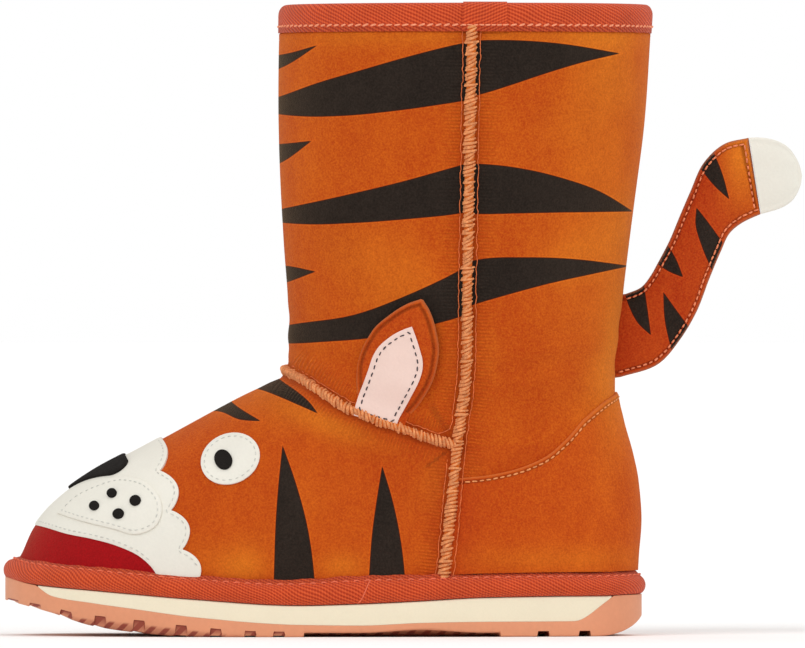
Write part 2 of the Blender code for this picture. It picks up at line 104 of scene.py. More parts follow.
TREAD = (  # y, depth of a groove's outer end, radius of the tread's outer edge
    (-0.1240, 0.0006, 0.0004), (-0.1143, 0.0012, 0.0004), (-0.1046, 0.0020, 0.0010),
    (-0.0939, 0.0034, 0.0024), (-0.0818, 0.0038, 0.0028), (-0.0687, 0.0034, 0.0024),
    (-0.0580, 0.0024, 0.0012), (-0.0473, 0.0017, 0.0006), (-0.0384, 0.0015, 0.0004),
    (0.0740, 0.0016, 0.0006),
)
WAIST = (-0.0308, 0.0304)
WAIST_RISE = 0.0013
WAIST_EDGE = 0.0030
RIB_HEIGHT = 0.0003
HEEL_CORNER = (0.0602, 0.0752)
HEEL_CORNER_RISE = 0.0095
FRONT = (  # height, y of the front outline
    (0.0120, -0.1215), (0.0180, -0.1211), (0.0230, -0.1197), (0.0258, -0.1184), (0.0332, -0.1152),
    (0.0390, -0.1108), (0.0440, -0.1052), (0.0500, -0.0962), (0.0568, -0.0832), (0.0643, -0.0693),
    (0.0710, -0.0568), (0.0754, -0.0482), (0.0784, -0.0412), (0.0806, -0.0378), (0.0850, -0.0358),
    (0.0960, -0.0357), (0.1230, -0.0373), (0.1640, -0.0388), (0.1963, -0.0386),
)
BACK = (  # height, y of the back outline
    (0.0120, 0.0714), (0.0180, 0.0718), (0.0250, 0.0722), (0.0360, 0.0730), (0.0480, 0.0721),
    (0.0560, 0.0705), (0.0670, 0.0675), (0.0750, 0.0660), (0.0820, 0.0660), (0.0930, 0.0671),
    (0.1230, 0.0705), (0.1600, 0.0752), (0.1963, 0.0777),
)
GIRTH_COLUMNS = ("level", "lateral", "medial", "lateral_y", "medial_y", "toe_power", "heel_power", "follow")
GIRTH = (
    (0.0128, 0.0375, 0.0360, -0.042, -0.052, 2.30, 2.60, 1.00),
    (0.0180, 0.0378, 0.0363, -0.042, -0.052, 2.30, 2.60, 1.00),
    (0.0250, 0.0378, 0.0363, -0.041, -0.050, 2.25, 2.60, 0.85),
    (0.0400, 0.0365, 0.0352, -0.036, -0.044, 2.15, 2.50, 0.30),
    (0.0550, 0.0346, 0.0337, -0.022, -0.026, 2.05, 2.40, 0.00),
    (0.0700, 0.0340, 0.0335, -0.003, -0.004, 2.00, 2.20, 0.00),
    (0.0850, 0.0354, 0.0351, 0.013, 0.013, 2.00, 2.10, 0.00),
    (0.1100, 0.0375, 0.0373, 0.016, 0.016, 2.05, 2.05, 0.00),
    (0.1500, 0.0412, 0.0412, 0.018, 0.018, 2.10, 2.10, 0.00),
    (0.1963, 0.0440, 0.0440, 0.020, 0.020, 2.10, 2.10, 0.00),
)
SOLE_COLUMNS = ("y", "bottom", "midsole", "top")
SOLE_LINES = (
    (-0.1240, 0.0110, 0.0250, 0.0182), (-0.1146, 0.0087, 0.0162, 0.0158), (-0.1090, 0.0072, 0.0124, 0.0152),
    (-0.0970, 0.0034, 0.0104, 0.0142), (-0.0830, 0.0013, 0.0085, 0.0130), (-0.0650, 0.0000, 0.0061, 0.0115),
    (-0.0320, 0.0000, 0.0037, 0.0096), (-0.0130, 0.0000, 0.0035, 0.0101), (0.0060, 0.0010, 0.0043, 0.0110),
    (0.0240, 0.0000, 0.0046, 0.0120), (0.0530, 0.0000, 0.0047, 0.0124), (0.0625, 0.0000, 0.0103, 0.0124),
    (0.0690, 0.0012, 0.0160, 0.0127), (0.0742, 0.0048, 0.0220, 0.0128),
)
LIP = (  # height above the sole, distance off the foot surface
    (0.0004, 0.0006), (0.0016, 0.0010), (0.0022, 0.0021), (0.0034, 0.0027), (0.0047, 0.0021),
    (0.0058, 0.0010), (0.0069, 0.0000),
)
FOOT_TAPE = (
    (0.0079, 0.0004), (0.0066, 0.0018), (0.0052, 0.0033), (0.0034, 0.0039), (0.0018, 0.0035),
    (0.0009, 0.0027), (0.0006, 0.0016), (0.0013, 0.0014), (0.0018, 0.0025), (0.0034, 0.0031),
    (0.0050, 0.0025), (0.0062, 0.0009), (0.0077, -0.0002),
)
COUNTER_TOP = (  # degrees from the middle of the back, level
    (0, 0.0758), (16, 0.0735), (31, 0.0680), (41, 0.0606), (48, 0.0554), (57, 0.0513), (64, 0.0496),
    (75, 0.0486),
)
COUNTER_FOOT = EDGE_LEVEL + 0.0076
COUNTER_STITCH = 0.0014  # from its edge
EAR_BASE = np.array([-0.0064, 0.0708])
EAR_TIP = np.array([0.0062, 0.1047])
EAR_HALF_WIDTHS = (
    (0.0, 0.0084), (0.15, 0.0103), (0.4, 0.0116), (0.6, 0.0106), (0.8, 0.0070), (0.93, 0.0034), (1.0, 0.0004),
)
TAIL = (  # upper edge's y and z, lower edge's y and z
    (0.0687, 0.1061, 0.0666, 0.0802), (0.0740, 0.1085, 0.0796, 0.0849), (0.0765, 0.1116, 0.0858, 0.0921),
    (0.0790, 0.1160, 0.0908, 0.1005), (0.0824, 0.1225, 0.0949, 0.1110), (0.0858, 0.1306, 0.0983, 0.1191),
    (0.0889, 0.1378, 0.1014, 0.1253), (0.0933, 0.1471, 0.1051, 0.1283), (0.0995, 0.1527, 0.1079, 0.1297),
    (0.1070, 0.1546, 0.1107, 0.1309),
)
TIP = (  # the same edges of the pale tip
    (0.1098, 0.1547, 0.1129, 0.1315), (0.1130, 0.1544, 0.1157, 0.1323), (0.1162, 0.1535, 0.1184, 0.1335),
    (0.1191, 0.1518, 0.1206, 0.1352), (0.1213, 0.1491, 0.1222, 0.1376), (0.1228, 0.1461, 0.1232, 0.1402),
    (0.12355, 0.1431, 0.12355, 0.1426),
)
TIP_JOINT_GAP = 0.0002
TAIL_MIDDLE = 0.097
TAIL_SPREAD = 1.006
TAIL_STITCH = 0.0017  # from its edge
TAIL_TUCK = 0.0006  # into the back
THROAT_LEVEL = 0.0826  # the vamp seam's height at the middle of the front
NOSE_CENTRE = (-0.0945, 0.0509)  # y, z
TAPE_SWELL = 0.0012  # how much taller the foot tape is at the waist
TAPE_SWELL_Y = -0.012
TAPE_SWELL_HALF_LENGTH = 0.024

# Lines and outlines on the boot's side, in millimetres: y, z
SIDE_SEAM = (
    (21.3, 189.0), (20.6, 150.0), (19.9, 110.0), (19.3, 79.0), (16.8, 59.4), (14.8, 39.0), (12.6, 17.4),
)
VAMP_SEAM = (
    (-33.0, 80.4), (-25.2, 75.6), (-16.8, 70.6), (-8.4, 67.2), (0.0, 64.4), (8.4, 61.4), (16.0, 59.6),
)
VAMP_SHARE = 0.86  # the vamp seam's width as a share of the side seams'
SHAFT_STRIPES = (
    ((-46, 180.7), (-38.6, 180.7), (-26.2, 183.5), (-38.6, 176.3), (-46, 174.6)),
    (
        (-46, 165.8), (-38.9, 167.6), (-26.7, 171.7), (-13.7, 175.4), (1.9, 179.8), (18.3, 183.8),
        (20.9, 184.3), (20.9, 166.2), (18.3, 165.8), (-1.2, 163.0), (-18.3, 161.4), (-32.3, 161.4),
        (-37.6, 162.0), (-46, 164.0),
    ),
    (
        (21.1, 184.5), (23.9, 184.7), (36.1, 184.7), (48.5, 183.8), (67.4, 180.9), (54.7, 177.7),
        (42.3, 173.8), (33.0, 170.7), (23.9, 167.9), (21.1, 167.2),
    ),
    ((-46, 152.9), (-37.9, 153.0), (-28.2, 153.8), (-37.3, 147.4), (-46, 144.0)),
    (
        (-46, 131.2), (-37.6, 132.8), (-18.3, 136.8), (0.3, 141.2), (18.3, 146.2), (20.6, 146.8),
        (20.6, 131.6), (18.3, 131.2), (1.9, 129.4), (-16.8, 128.1), (-29.2, 127.8), (-37.6, 128.4),
        (-46, 129.8),
    ),
    (
        (20.4, 146.5), (23.9, 146.5), (36.1, 145.2), (48.5, 142.4), (61.0, 138.1), (71.6, 131.9),
        (54.7, 131.5), (39.2, 131.2), (23.9, 130.9), (20.4, 130.9),
    ),
    ((-46, 115.1), (-37.0, 115.1), (-27.0, 113.2), (-36.4, 109.8), (-46, 107.4)),
    (
        (-46, 94.6), (-35.5, 96.7), (-15.2, 99.8), (2.5, 106.4), (17.4, 113.5), (20.2, 115.0), (20.2, 100.0),
        (17.1, 98.9), (10.3, 97.0), (-1.2, 94.2), (-11.2, 92.4), (-23.6, 91.4), (-35.5, 90.8), (-46, 91.4),
    ),
    (
        (20.0, 116.1), (23.3, 116.9), (37.6, 117.6), (51.6, 117.2), (71.0, 115.0), (57.8, 112.2),
        (45.7, 109.5), (33.0, 106.1), (23.3, 103.3), (20.0, 102.2),
    ),
)
FOOT_STRIPES = (
    ((-37.4, 59.6), (-33.3, 47.9), (-29.9, 35.5), (-27.4, 17.7), (-27, 10), (-40.4, 10), (-40.1, 17.7),
     (-39.5, 35.5), (-38.6, 47.9)),
    ((-6.5, 53.2), (-3.1, 41.7), (-0.6, 29.2), (0.6, 18.3), (1, 10), (-11, 10), (-10.6, 18.3), (-9.6, 32.3),
     (-8.1, 43.2)),
    ((-62.0, 69.6), (-57.0, 76.0), (-53.2, 72.5), (-43.9, 66.6), (-51.0, 67.2), (-57.0, 69.6)),
    ((-50.0, 77.6), (-42.6, 83.0), (-37.6, 79.1), (-32.2, 75.4), (-29.2, 72.8), (-26.2, 68.9), (-32.0, 71.4),
     (-37.6, 73.7), (-43.4, 75.9)),
)
TAIL_STRIPES = (
    ((68.0, 109.0), (74.6, 109.4), (75.9, 100.1), (76.8, 93.3), (72.8, 97.0), (69.7, 102.9)),
    ((80.5, 107.0), (84.3, 101.7), (89.4, 94.8), (83.0, 88.8), (80.9, 98.6)),
    ((80.6, 123.6), (84.6, 116.9), (86.8, 111.3), (82.7, 112.9), (77.4, 116.4)),
    ((90.8, 133.1), (94.2, 128.8), (99.0, 122.2), (95.6, 113.4), (92.1, 121.9), (90.5, 127.8)),
    ((95.6, 151.6), (98.9, 143.4), (101.1, 135.3), (96.4, 139.6), (91.4, 145.9)),
)
EAR_PATCH = (
    (2.7, 96.1), (0.4, 95.3), (-1.8, 94.3), (-5.0, 92.2), (-7.7, 89.7), (-9.1, 87.5), (-10.9, 82.5),
    (-12.4, 78.4), (-13.8, 74.8), (-15.1, 70.3), (-15.4, 68.6), (-2.2, 64.9), (-1.5, 67.0), (0.5, 70.7),
    (2.7, 74.8), (4.8, 78.9), (6.0, 83.0), (6.0, 85.7), (5.2, 88.8), (4.1, 92.4),
)
MUZZLE_TOP = np.array([-79.0, 63.0])
MUZZLE_FOOT = np.array([-65.0, 15.0])
MUZZLE_LOBES = 4
MUZZLE_LOBE_DEPTH = 4.2
MOUTH = (
    (-130, 5), (-130, 34.5), (-118, 34.5), (-112, 33.6), (-104, 31.5), (-96, 30.0), (-88, 27.8), (-81, 24.4),
    (-76.5, 19.5), (-75, 14), (-75, 5),
)
NOSE_SLOPE = math.radians(33)
NOSE_CORNERS = ((-12.5, 5.0), (12.5, 5.0), (0.0, -6.5))  # across, up the slope
NOSE_ROUND = 4.4
CHEEK = (
    (-107, 37.5), (-103, 42.0), (-95, 46.4), (-86, 48.6), (-78.5, 46.4), (-74.5, 40.5), (-76, 34.5),
    (-82, 31.5), (-90, 33.2), (-99, 35.2),
)
EYE_CENTRE = (-53.5, 55.0)
EYE_RADII = (9.4, 7.6)
EYE_TILT = 24  # degrees
PUPIL = (-2.0, -0.6, 2.7)  # along, across, radius
WHISKER_DOTS = ((-95.0, 39.6, 1.4), (-89.6, 43.4, 1.4), (-87.6, 37.4, 1.6), (-82.4, 41.4, 1.6))
# Painted sheen: spots of lighter, yellower suede where the nap catches the light, on the vamp, at the back
# edge, above the tape and below the collar
PAINTED_SHEEN_SPOTS = (  # y, z, direction in degrees, half length, half width, strength
    (-22.0, 66.0, -18, 15.0, 4.5, 0.60),
    (50.0, 24.0, 0, 30.0, 4.0, 0.30),
    (-19.0, 22.0, 0, 7.0, 4.0, 0.45),
    (-50.0, 22.0, 0, 8.0, 5.0, 0.45),
    (67.0, 92.0, 85, 32.0, 6.0, 0.75),
    (62.0, 150.0, 86, 45.0, 12.0, 0.25),
    (24.0, 186.0, 0, 60.0, 4.0, 0.35),
)
TAPE_JOIN = (-10.2, -14.0)  # y of the foot tape's join, above and below
TAPE_END = (18.4, 32.2)  # y of the collar tape's lap, at both ends
CREASES = (  # y, z, direction in degrees, half length, half width, depth
    (-30.0, 88.0, -14, 15.0, 3.4, 0.55),
    (-24.0, 97.0, -8, 17.0, 4.2, 0.35),
    (46.0, 84.0, 6, 17.0, 4.6, 0.60),
    (58.0, 95.0, 10, 14.0, 4.2, 0.35),
    (-46.0, 60.0, 38, 13.0, 3.6, 0.30),
    (-14.0, 56.0, -20, 15.0, 4.0, 0.35),
    (34.0, 62.0, 22, 14.0, 5.0, 0.30),
    (-18.0, 150.0, 72, 24.0, 7.0, 0.35),
    (46.0, 150.0, 96, 26.0, 8.0, 0.40),
)
SEAM_WAVES = ((0.26, 2.8, 1.5), (-0.35, 7.0, 3.2))  # depth, distance from the seam, half width
RIPPLE_PITCH = 1.06  # of the gathers along the seams

# How finely and how thickly the pieces are made
UPPER_TURNS = 384
UPPER_STEP = 0.00085
SUEDE = 0.0014
CUT_ROUND = 0.0008
THIN_PATCH = 0.8  # as a share of the patches' thickness
THREAD_LIFT = 0.0003
SURFACE_BEND = 0.07
FLEECE_LUMPS = 330
TAPE_TURNS = 420
STRIPE_REACH = 4.0
CORNER_POINTS = 9
CORNER_REACH = 0.0045
STRIPE_VALUES = ("stripe_one", "stripe_two")
EDGE_STEPS = 6
CORNER = math.radians(50)
RUN_ON = 40
TINY = 1e-12

# The stage
FLOOR_HALF = 90
FLOOR_LEVEL = -0.00005
CAMERA_PLACE = (6.0, -0.0002, 0.0969)
CAMERA_LENS = 861.0
LAMPS = (  # name, turn, height, strength, width, with angles in degrees
    ("key", -35, 45, 1.02, 35), ("fill", 52, 36, 0.70, 60), ("top", 150, 72, 0.72, 70),
)


def srgb(red, green, blue):
    """A screen colour as the linear one that shaders use."""
    shares = np.array([red, green, blue]) / 255
    linear = np.where(shares <= 0.04045, shares / 12.92, ((shares + 0.055) / 1.055) ** 2.4)
    return tuple(float(share) for share in linear)


def length_property(name, description, default):
    return bpy.props.FloatProperty(
        name=name, description=description, default=default, min=0.0, unit="LENGTH", precision=5
    )


def colour_property(name, description, *screen):
    return bpy.props.FloatVectorProperty(
        name=name, description=description, default=srgb(*screen), size=3, min=0.0, max=1.0, subtype="COLOR"
    )


class BootSizes(bpy.types.PropertyGroup):
    """Sizes of the sewn and napped detail."""

    tape_pitch: length_property("Tape stitch pitch", "From stitch to stitch on the foot tape", 0.0034)
    collar_pitch: length_property("Collar stitch pitch", "From stitch to stitch on the collar", 0.0026)
    fine_pitch: length_property("Fine stitch pitch", "From stitch to stitch on tail and counter", 0.0019)
    dark_pitch: length_property("Ear stitch pitch", "From one dark stitch to the next on the ears", 0.00236)
    thread: length_property("Thread radius", "Half the width of the sewing thread", 0.00021)
    seam_width: length_property("Seam width", "Between the edge threads of the seams", 0.0053)
    seam_height: length_property("Seam height", "How far the overlocked seams stand proud", 0.0015)
    strand_pitch: length_property("Strand pitch", "From one overlock strand to the next", 0.0012)
    strand: length_property("Strand radius", "Half the width of an overlock strand", 0.00038)
    patch: length_property("Patch thickness", "Thickness of the leather patches", 0.0009)
    pile: length_property("Pile length", "Height of the fleece curls", 0.0022)


class BootColours(bpy.types.PropertyGroup):
    """Base colours of the finishes."""

    suede_light: colour_property("Suede, brushed up", "Where the nap stands up", 213, 103, 23)
    suede_dark: colour_property("Suede, brushed down", "Where the nap lies flat", 180, 62, 10)
    tail_light: colour_property("Tail suede, brushed up", "Redder nap of the tail", 194, 78, 24)
    tail_dark: colour_property("Tail suede, brushed down", "Redder nap lying flat", 162, 43, 11)
    stripe: colour_property("Stripes", "Dyed stripes", 42, 34, 29)
    raw_edge: colour_property("Cut edge", "Cut edges of the suede", 164, 100, 74)
    tape: colour_property("Tape", "Binding tape's ribs", 222, 90, 42)
    # Painted shade between the tape's ribs
    tape_gap_shade: colour_property("Tape gap shade", "Between the binding tape's ribs", 172, 46, 8)
    tape_thread: colour_property("Tape thread", "Stitches on the foot's tape", 228, 110, 78)
    collar_thread: colour_property("Collar thread", "Stitches on the collar's tape", 242, 150, 112)
    seam_thread: colour_property("Seam thread", "Overlock thread", 236, 146, 92)
    tail_thread: colour_property("Tail thread", "Stitches on the tail", 240, 138, 96)
    # Painted shade, with a redder tone on the counter: darker suede along the seams, just above the foot
    # tape, over the foot and at the counter's sides
    painted_shade_and_tone: colour_property("Shaded and redder suede", "Suede along seams and tape", 176, 56, 16)
    seam_core: colour_property("Seam core", "Suede edges under the strands", 216, 124, 64)
    edge_thread: colour_property("Edge thread", "Threads along the seams' edges", 222, 112, 60)
    counter_thread: colour_property("Counter thread", "Stitches on the counter", 232, 150, 92)
    counter_edge: colour_property("Counter's cut edge", "Fuzzy edge of the heel counter", 206, 110, 50)
    ear_edge: colour_property("Ear's cut edge", "Cut edge of the ears", 186, 98, 52)
    stripe_edge: colour_property("Stripe edge", "Dye that runs out at a stripe's edge", 64, 24, 12)
    # Painted shade: the dark inside of the needle holes
    needle_hole_shade: colour_property("Needle holes", "Dark holes between stitches", 146, 50, 22)
    # Painted sheen, with a golden tone: suede lighter and yellower where the nap catches the light
    painted_sheen_tint: colour_property("Golden suede", "Painted sheen and golden tone", 222, 126, 32)
    rubber: colour_property("Rubber", "Outsole", 221, 148, 110)
    # Painted shade: the dark of the lug gaps, the notches' roofs and the rib's edge under the waist
    tread: colour_property("Tread", "Rubber under the forefoot's edge", 142, 58, 38)
    foam: colour_property("Foam", "Midsole", 236, 227, 201)
    fleece: colour_property("Fleece", "Lining and insole", 236, 222, 196)
    white: colour_property("White leather", "Tail tip and face patches", 227, 224, 213)
    pink: colour_property("Ear lining", "Patch in each ear", 235, 206, 195)
    red: colour_property("Red suede", "Toe panel", 160, 12, 20)
    black: colour_property("Black felt", "Small dark patches", 30, 27, 25)
    grey_thread: colour_property("Pale stitching", "Stitches on the white patches", 206, 206, 198)
    dark_thread: colour_property("Dark stitching", "Stitches on the ear lining", 62, 54, 60)


def sizes():
    return bpy.context.scene.boot_sizes


def colours():
    return bpy.context.scene.boot_colours


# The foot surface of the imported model


def smooth(points, at):
    """A cubic through (place, value) points that never overshoots them, held level past both ends."""
    places, values = (np.array(column, float) for column in zip(*points))
    at = np.clip(np.asarray(at, float), places[0], places[-1])
    steps = np.diff(places)
    slopes = np.diff(values) / steps
    before, after = slopes[:-1], slopes[1:]
    near, far = steps[:-1], steps[1:]
    rising = before * after > 0
    safe_before = np.where(rising, before, 1.0)
    safe_after = np.where(rising, after, 1.0)
    mean = 3 * (near + far) / ((2 * far + near) / safe_before + (far + 2 * near) / safe_after)
    tangents = np.concatenate([slopes[:1], np.where(rising, mean, 0.0), slopes[-1:]])
    i = np.clip(np.searchsorted(places, at, side="right") - 1, 0, len(steps) - 1)
    t = (at - places[i]) / steps[i]
    start = (1 + 2 * t) * (1 - t) ** 2 * values[i] + t * (1 - t) ** 2 * steps[i] * tangents[i]
    end = t * t * (3 - 2 * t) * values[i + 1] + t * t * (t - 1) * steps[i] * tangents[i + 1]
    return start + end


def girth(column, level):
    i = GIRTH_COLUMNS.index(column)
    return smooth([(row[0], row[i]) for row in GIRTH], level)


def sole_line(column, y):
    i = SOLE_COLUMNS.index(column)
    return smooth([(row[0], row[i]) for row in SOLE_LINES], y)


def toe_swing(y):
    """How far the foot's middle line has turned to the inner side at y."""
    share = np.clip((BALL_Y - y) / (BALL_Y - TOE_Y), 0.0, 1.2)
    return TOE_SWING * share**2


def arch_hollow(y, level):
    fade = np.clip((ARCH_TOP - level) / (ARCH_TOP - ARCH_FULL), 0.0, 1.0)
    return ARCH_HOLLOW * fade * np.exp(-(((y - ARCH_Y) / ARCH_SPAN) ** 2))


def foot_surface(turn, level):
    """A point of the boot's outside. turn is 0 at the toe, 0.25 at the outer side, 0.5 at the heel."""
    turn, level = np.broadcast_arrays(np.asarray(turn, float), np.asarray(level, float))
    along, across = np.cos(2 * math.pi * turn), np.sin(2 * math.pi * turn)
    follow = girth("follow", level)
    toe = smooth(FRONT, level + follow * (SOLE_TOP_AT_TOE - SOLE_TOP_AT_HEEL))
    heel = smooth(BACK, level)
    lateral = across >= 0
    half = np.where(lateral, girth("lateral", level), girth("medial", level))
    widest = np.where(lateral, girth("lateral_y", level), girth("medial_y", level))
    forward = along >= 0
    power = np.where(forward, girth("toe_power", level), girth("heel_power", level))
    reach = np.where(forward, widest - toe, heel - widest)
    y = widest - np.sign(along) * reach * np.abs(along) ** (2 / power)
    x = np.sign(across) * half * np.abs(across) ** (2 / power)
    x = x + np.where(lateral, 0.0, arch_hollow(y, level) * np.abs(across)) - toe_swing(y)
    z = level + follow * (sole_line("top", y) - SOLE_TOP_AT_HEEL)
    return np.stack([x, y, z], axis=-1)


def unit(vectors):
    return vectors / np.maximum(np.linalg.norm(vectors, axis=-1, keepdims=True), TINY)


def surface_normal(turn, level):
    ahead = foot_surface(turn + SMALL_STEP, level) - foot_surface(turn - SMALL_STEP, level)
    above = foot_surface(turn, level + SMALL_STEP) - foot_surface(turn, level - SMALL_STEP)
    return unit(np.cross(ahead, above))


def off_surface(turn, level, out):
    """The foot surface's point moved out along its normal."""
    turn, level, out = np.broadcast_arrays(turn, level, out)
    return foot_surface(turn, level) + surface_normal(turn, level) * out[..., None]


def place(y, z, side):
    """Turn and level of the foot surface's point that shows at y, z from that side."""
    y, z = (np.asarray(a, float) for a in np.broadcast_arrays(y, z))
    level = z
    for _ in range(8):
        level = z - girth("follow", level) * (sole_line("top", y) - SOLE_TOP_AT_HEEL)
    low, high = np.zeros(y.shape), np.full(y.shape, 0.5)
    for _ in range(36):
        middle = (low + high) / 2
        before = foot_surface(side * middle, level)[..., 1] < y
        low = np.where(before, middle, low)
        high = np.where(before, high, middle)
    return side * low, level


# Lines and outlines


def corners_of(points):
    """Which points of a closed outline turn a sharp corner."""
    heading = unit(np.roll(points, -1, 0) - points)
    return np.sum(heading * np.roll(heading, 1, 0), axis=1) < math.cos(CORNER)


def flowing(points, closed=False, steps=6):
    """A line through points that bends smoothly, except where they turn a sharp corner."""
    points = np.asarray(points, float)
    count = len(points)
    ahead = np.roll(points, -1, 0) - points
    behind = np.roll(ahead, 1, 0)
    far, near = (np.linalg.norm(a, axis=1, keepdims=True) for a in (ahead, behind))
    sharp = corners_of(points)
    if not closed:
        sharp[[0, -1]] = True
    heading = unit(unit(behind) * far + unit(ahead) * near)
    line = []
    for i in range(count if closed else count - 1):
        j = (i + 1) % count
        start = ahead[i] if sharp[i] else heading[i] * far[i]
        end = ahead[i] if sharp[j] else heading[j] * far[i]
        for t in np.arange(steps) / steps:
            line.append(
                (1 + 2 * t) * (1 - t) ** 2 * points[i] + t * (1 - t) ** 2 * start
                + t * t * (3 - 2 * t) * points[j] + t * t * (t - 1) * end
            )
    if not closed:
        line.append(points[-1])
    return np.array(line)


def run_along(line):
    """The length along a line from its start to each of its points."""
    return np.concatenate([[0.0], np.cumsum(np.linalg.norm(np.diff(line, axis=0), axis=1))])


def even(line, step):
    """The same line with points about one step apart, whatever else its rows hold after the place."""
    line = np.asarray(line, float)
    run = run_along(line[:, :3])
    at = np.linspace(0, run[-1], max(2, int(round(run[-1] / step)) + 1))
    return np.stack([np.interp(at, run, column) for column in line.T], axis=1)


def segment_gap(start, end, y, z):
    """How far along a straight piece of line its point nearest to y, z lies, and the distance from it."""
    run, rise = end[0] - start[0], end[1] - start[1]
    ahead, above = y - start[0], z - start[1]
    share = np.clip((ahead * run + above * rise) / max(run * run + rise * rise, TINY), 0, 1)
    return share, np.hypot(ahead - share * run, above - share * rise)


def inside_distance(outline, y, z):
    """Distance from a closed outline, above zero inside it."""
    nearest = np.full(np.shape(y), np.inf)
    inside = np.zeros(np.shape(y), bool)
    for start, end in zip(outline, np.roll(outline, -1, 0)):
        nearest = np.minimum(nearest, segment_gap(start, end, y, z)[1])
        run, rise = end[0] - start[0], end[1] - start[1]
        crosses = (start[1] > z) != (end[1] > z)
        inside ^= crosses & (y < start[0] + (z - start[1]) * run / (rise if abs(rise) > TINY else TINY))
    return np.where(inside, nearest, -nearest)


def line_distance(line, y, z):
    """Distance from an open line, and the length along it of its nearest point."""
    nearest, along = np.full(np.shape(y), np.inf), np.zeros(np.shape(y))
    passed = 0.0
    for start, end in zip(line[:-1], line[1:]):
        share, gap = segment_gap(start, end, y, z)
        length = math.dist(start, end)
        along = np.where(gap < nearest, passed + share * length, along)
        nearest = np.minimum(nearest, gap)
        passed += length
    return nearest, along


def edge_distance(line, y, z):
    """Distance from an open line whose ends run straight on, above zero on its left."""
    before, after = (RUN_ON * unit(line[i] - line[j]) for i, j in ((0, 1), (-1, -2)))
    line = np.vstack([line[0] + before, line, line[-1] + after])
    nearest, signed = np.full(np.shape(y), np.inf), np.zeros(np.shape(y))
    for start, end in zip(line[:-1], line[1:]):
        gap = segment_gap(start, end, y, z)[1]
        left = (end[0] - start[0]) * (z - start[1]) - (end[1] - start[1]) * (y - start[0])
        signed = np.where(gap < nearest, np.copysign(gap, left), signed)
        nearest = np.minimum(nearest, gap)
    return signed


def stripe_edges(outline):
    """A stripe's edges from corner to corner, in two sets that meet at its sharpest tip."""
    points = np.asarray(outline, float)
    ahead = np.roll(points, -1, 0)
    if np.sum(points[:, 0] * ahead[:, 1] - ahead[:, 0] * points[:, 1]) < 0:
        points = points[::-1]
    heading = unit(np.roll(points, -1, 0) - points)
    tip = int(np.argmin(np.sum(heading * np.roll(heading, 1, 0), axis=1)))
    points = np.roll(points, -tip, axis=0)
    line = flowing(points, closed=True, steps=EDGE_STEPS)
    corners = [*(np.flatnonzero(corners_of(points)) * EDGE_STEPS), len(line)]
    line = np.vstack([line, line[:1]])
    edges = [line[start : end + 1] for start, end in zip(corners[:-1], corners[1:])]
    return edges[:-1:2], edges[1:-1:2] + edges[-1:]


def stripe_depths(outlines, y, z):
    """How far inside both sets of edges of its nearest stripe each point lies, in millimetres."""
    y, z = y / MM, z / MM
    depths = np.full((2, *y.shape), -STRIPE_REACH)
    for outline in outlines:
        low, high = np.min(outline, axis=0) - STRIPE_REACH, np.max(outline, axis=0) + STRIPE_REACH
        near = (y > low[0]) & (y < high[0]) & (z > low[1]) & (z < high[1])
        if near.any():
            here = np.array([
                np.min([edge_distance(edge, y[near], z[near]) for edge in edges], axis=0)
                for edges in stripe_edges(outline)
            ])
            depth = here.min(axis=0)
            here = np.where(depth > -0.6 * STRIPE_REACH, here, depth)
            better = depth > depths[:, near].min(axis=0)
            depths[:, near] = np.where(better, here, depths[:, near])
    return depths


def inset(outline, distance):
    """A closed outline moved inwards, without the loops that its corners would make."""
    outline = even(np.vstack([outline, outline[:1]]), 0.25)[:-1]
    heading = unit(np.roll(outline, -1, 0) - np.roll(outline, 1, 0))
    best = None
    for sign in (1, -1):
        moved = outline + sign * distance * np.stack([-heading[:, 1], heading[:, 0]], axis=1)
        depth = inside_distance(outline, moved[:, 0], moved[:, 1])
        kept = moved[depth > distance - 0.06]
        if best is None or len(kept) > len(best):
            best = kept
    return best


# Meshes


def lumps_at(points, scale):
    """Smooth noise between about -1 and 1, a value for each point."""
    flat = (points.reshape(-1, 3) * scale).tolist()
    return np.array([noise.noise(Vector(point)) for point in flat]).reshape(points.shape[:-1])


def new_mesh(name, points, faces):
    mesh = bpy.data.meshes.new(name)
    mesh.from_pydata(np.asarray(points, float).tolist(), [], faces)
    mesh.update()
    return mesh


def face_outwards(mesh):
    """Turns a closed mesh's faces round if they point inwards."""
    points = np.zeros(len(mesh.vertices) * 3)
    mesh.vertices.foreach_get("co", points)
    points = points.reshape(-1, 3)
    mesh.calc_loop_triangles()
    corners = np.zeros(len(mesh.loop_triangles) * 3, int)
    mesh.loop_triangles.foreach_get("vertices", corners)
    a, b, c = (points[corners.reshape(-1, 3)[:, i]] for i in range(3))
    if np.sum(a * np.cross(b, c)) < 0:
        mesh.flip_normals()
    return mesh


def grid_faces(rows, columns, wrap_rows, wrap_columns, first=0):
    index = first + np.arange(rows * columns).reshape(rows, columns)
    if wrap_rows:
        index = np.vstack([index, index[:1]])
    if wrap_columns:
        index = np.hstack([index, index[:, :1]])
    quads = np.stack([index[:-1, :-1], index[:-1, 1:], index[1:, 1:], index[1:, :-1]], axis=-1)
    return quads.reshape(-1, 4).tolist()


def ring_mesh(name, points):
    """A closed cross-section carried once round the boot: points[profile, around]."""
    rows, columns = points.shape[:2]
    return face_outwards(new_mesh(name, points.reshape(-1, 3), grid_faces(rows, columns, True, True)))


def loft_mesh(name, sections):
    """A capped solid through closed sections: sections[along, around]."""
    sections = np.asarray(sections, float)
    rows, columns = sections.shape[:2]
    last = (rows - 1) * columns
    faces = grid_faces(rows, columns, False, True)
    faces += [list(range(columns)), list(range(last + columns - 1, last - 1, -1))]
    return face_outwards(new_mesh(name, sections.reshape(-1, 3), faces))


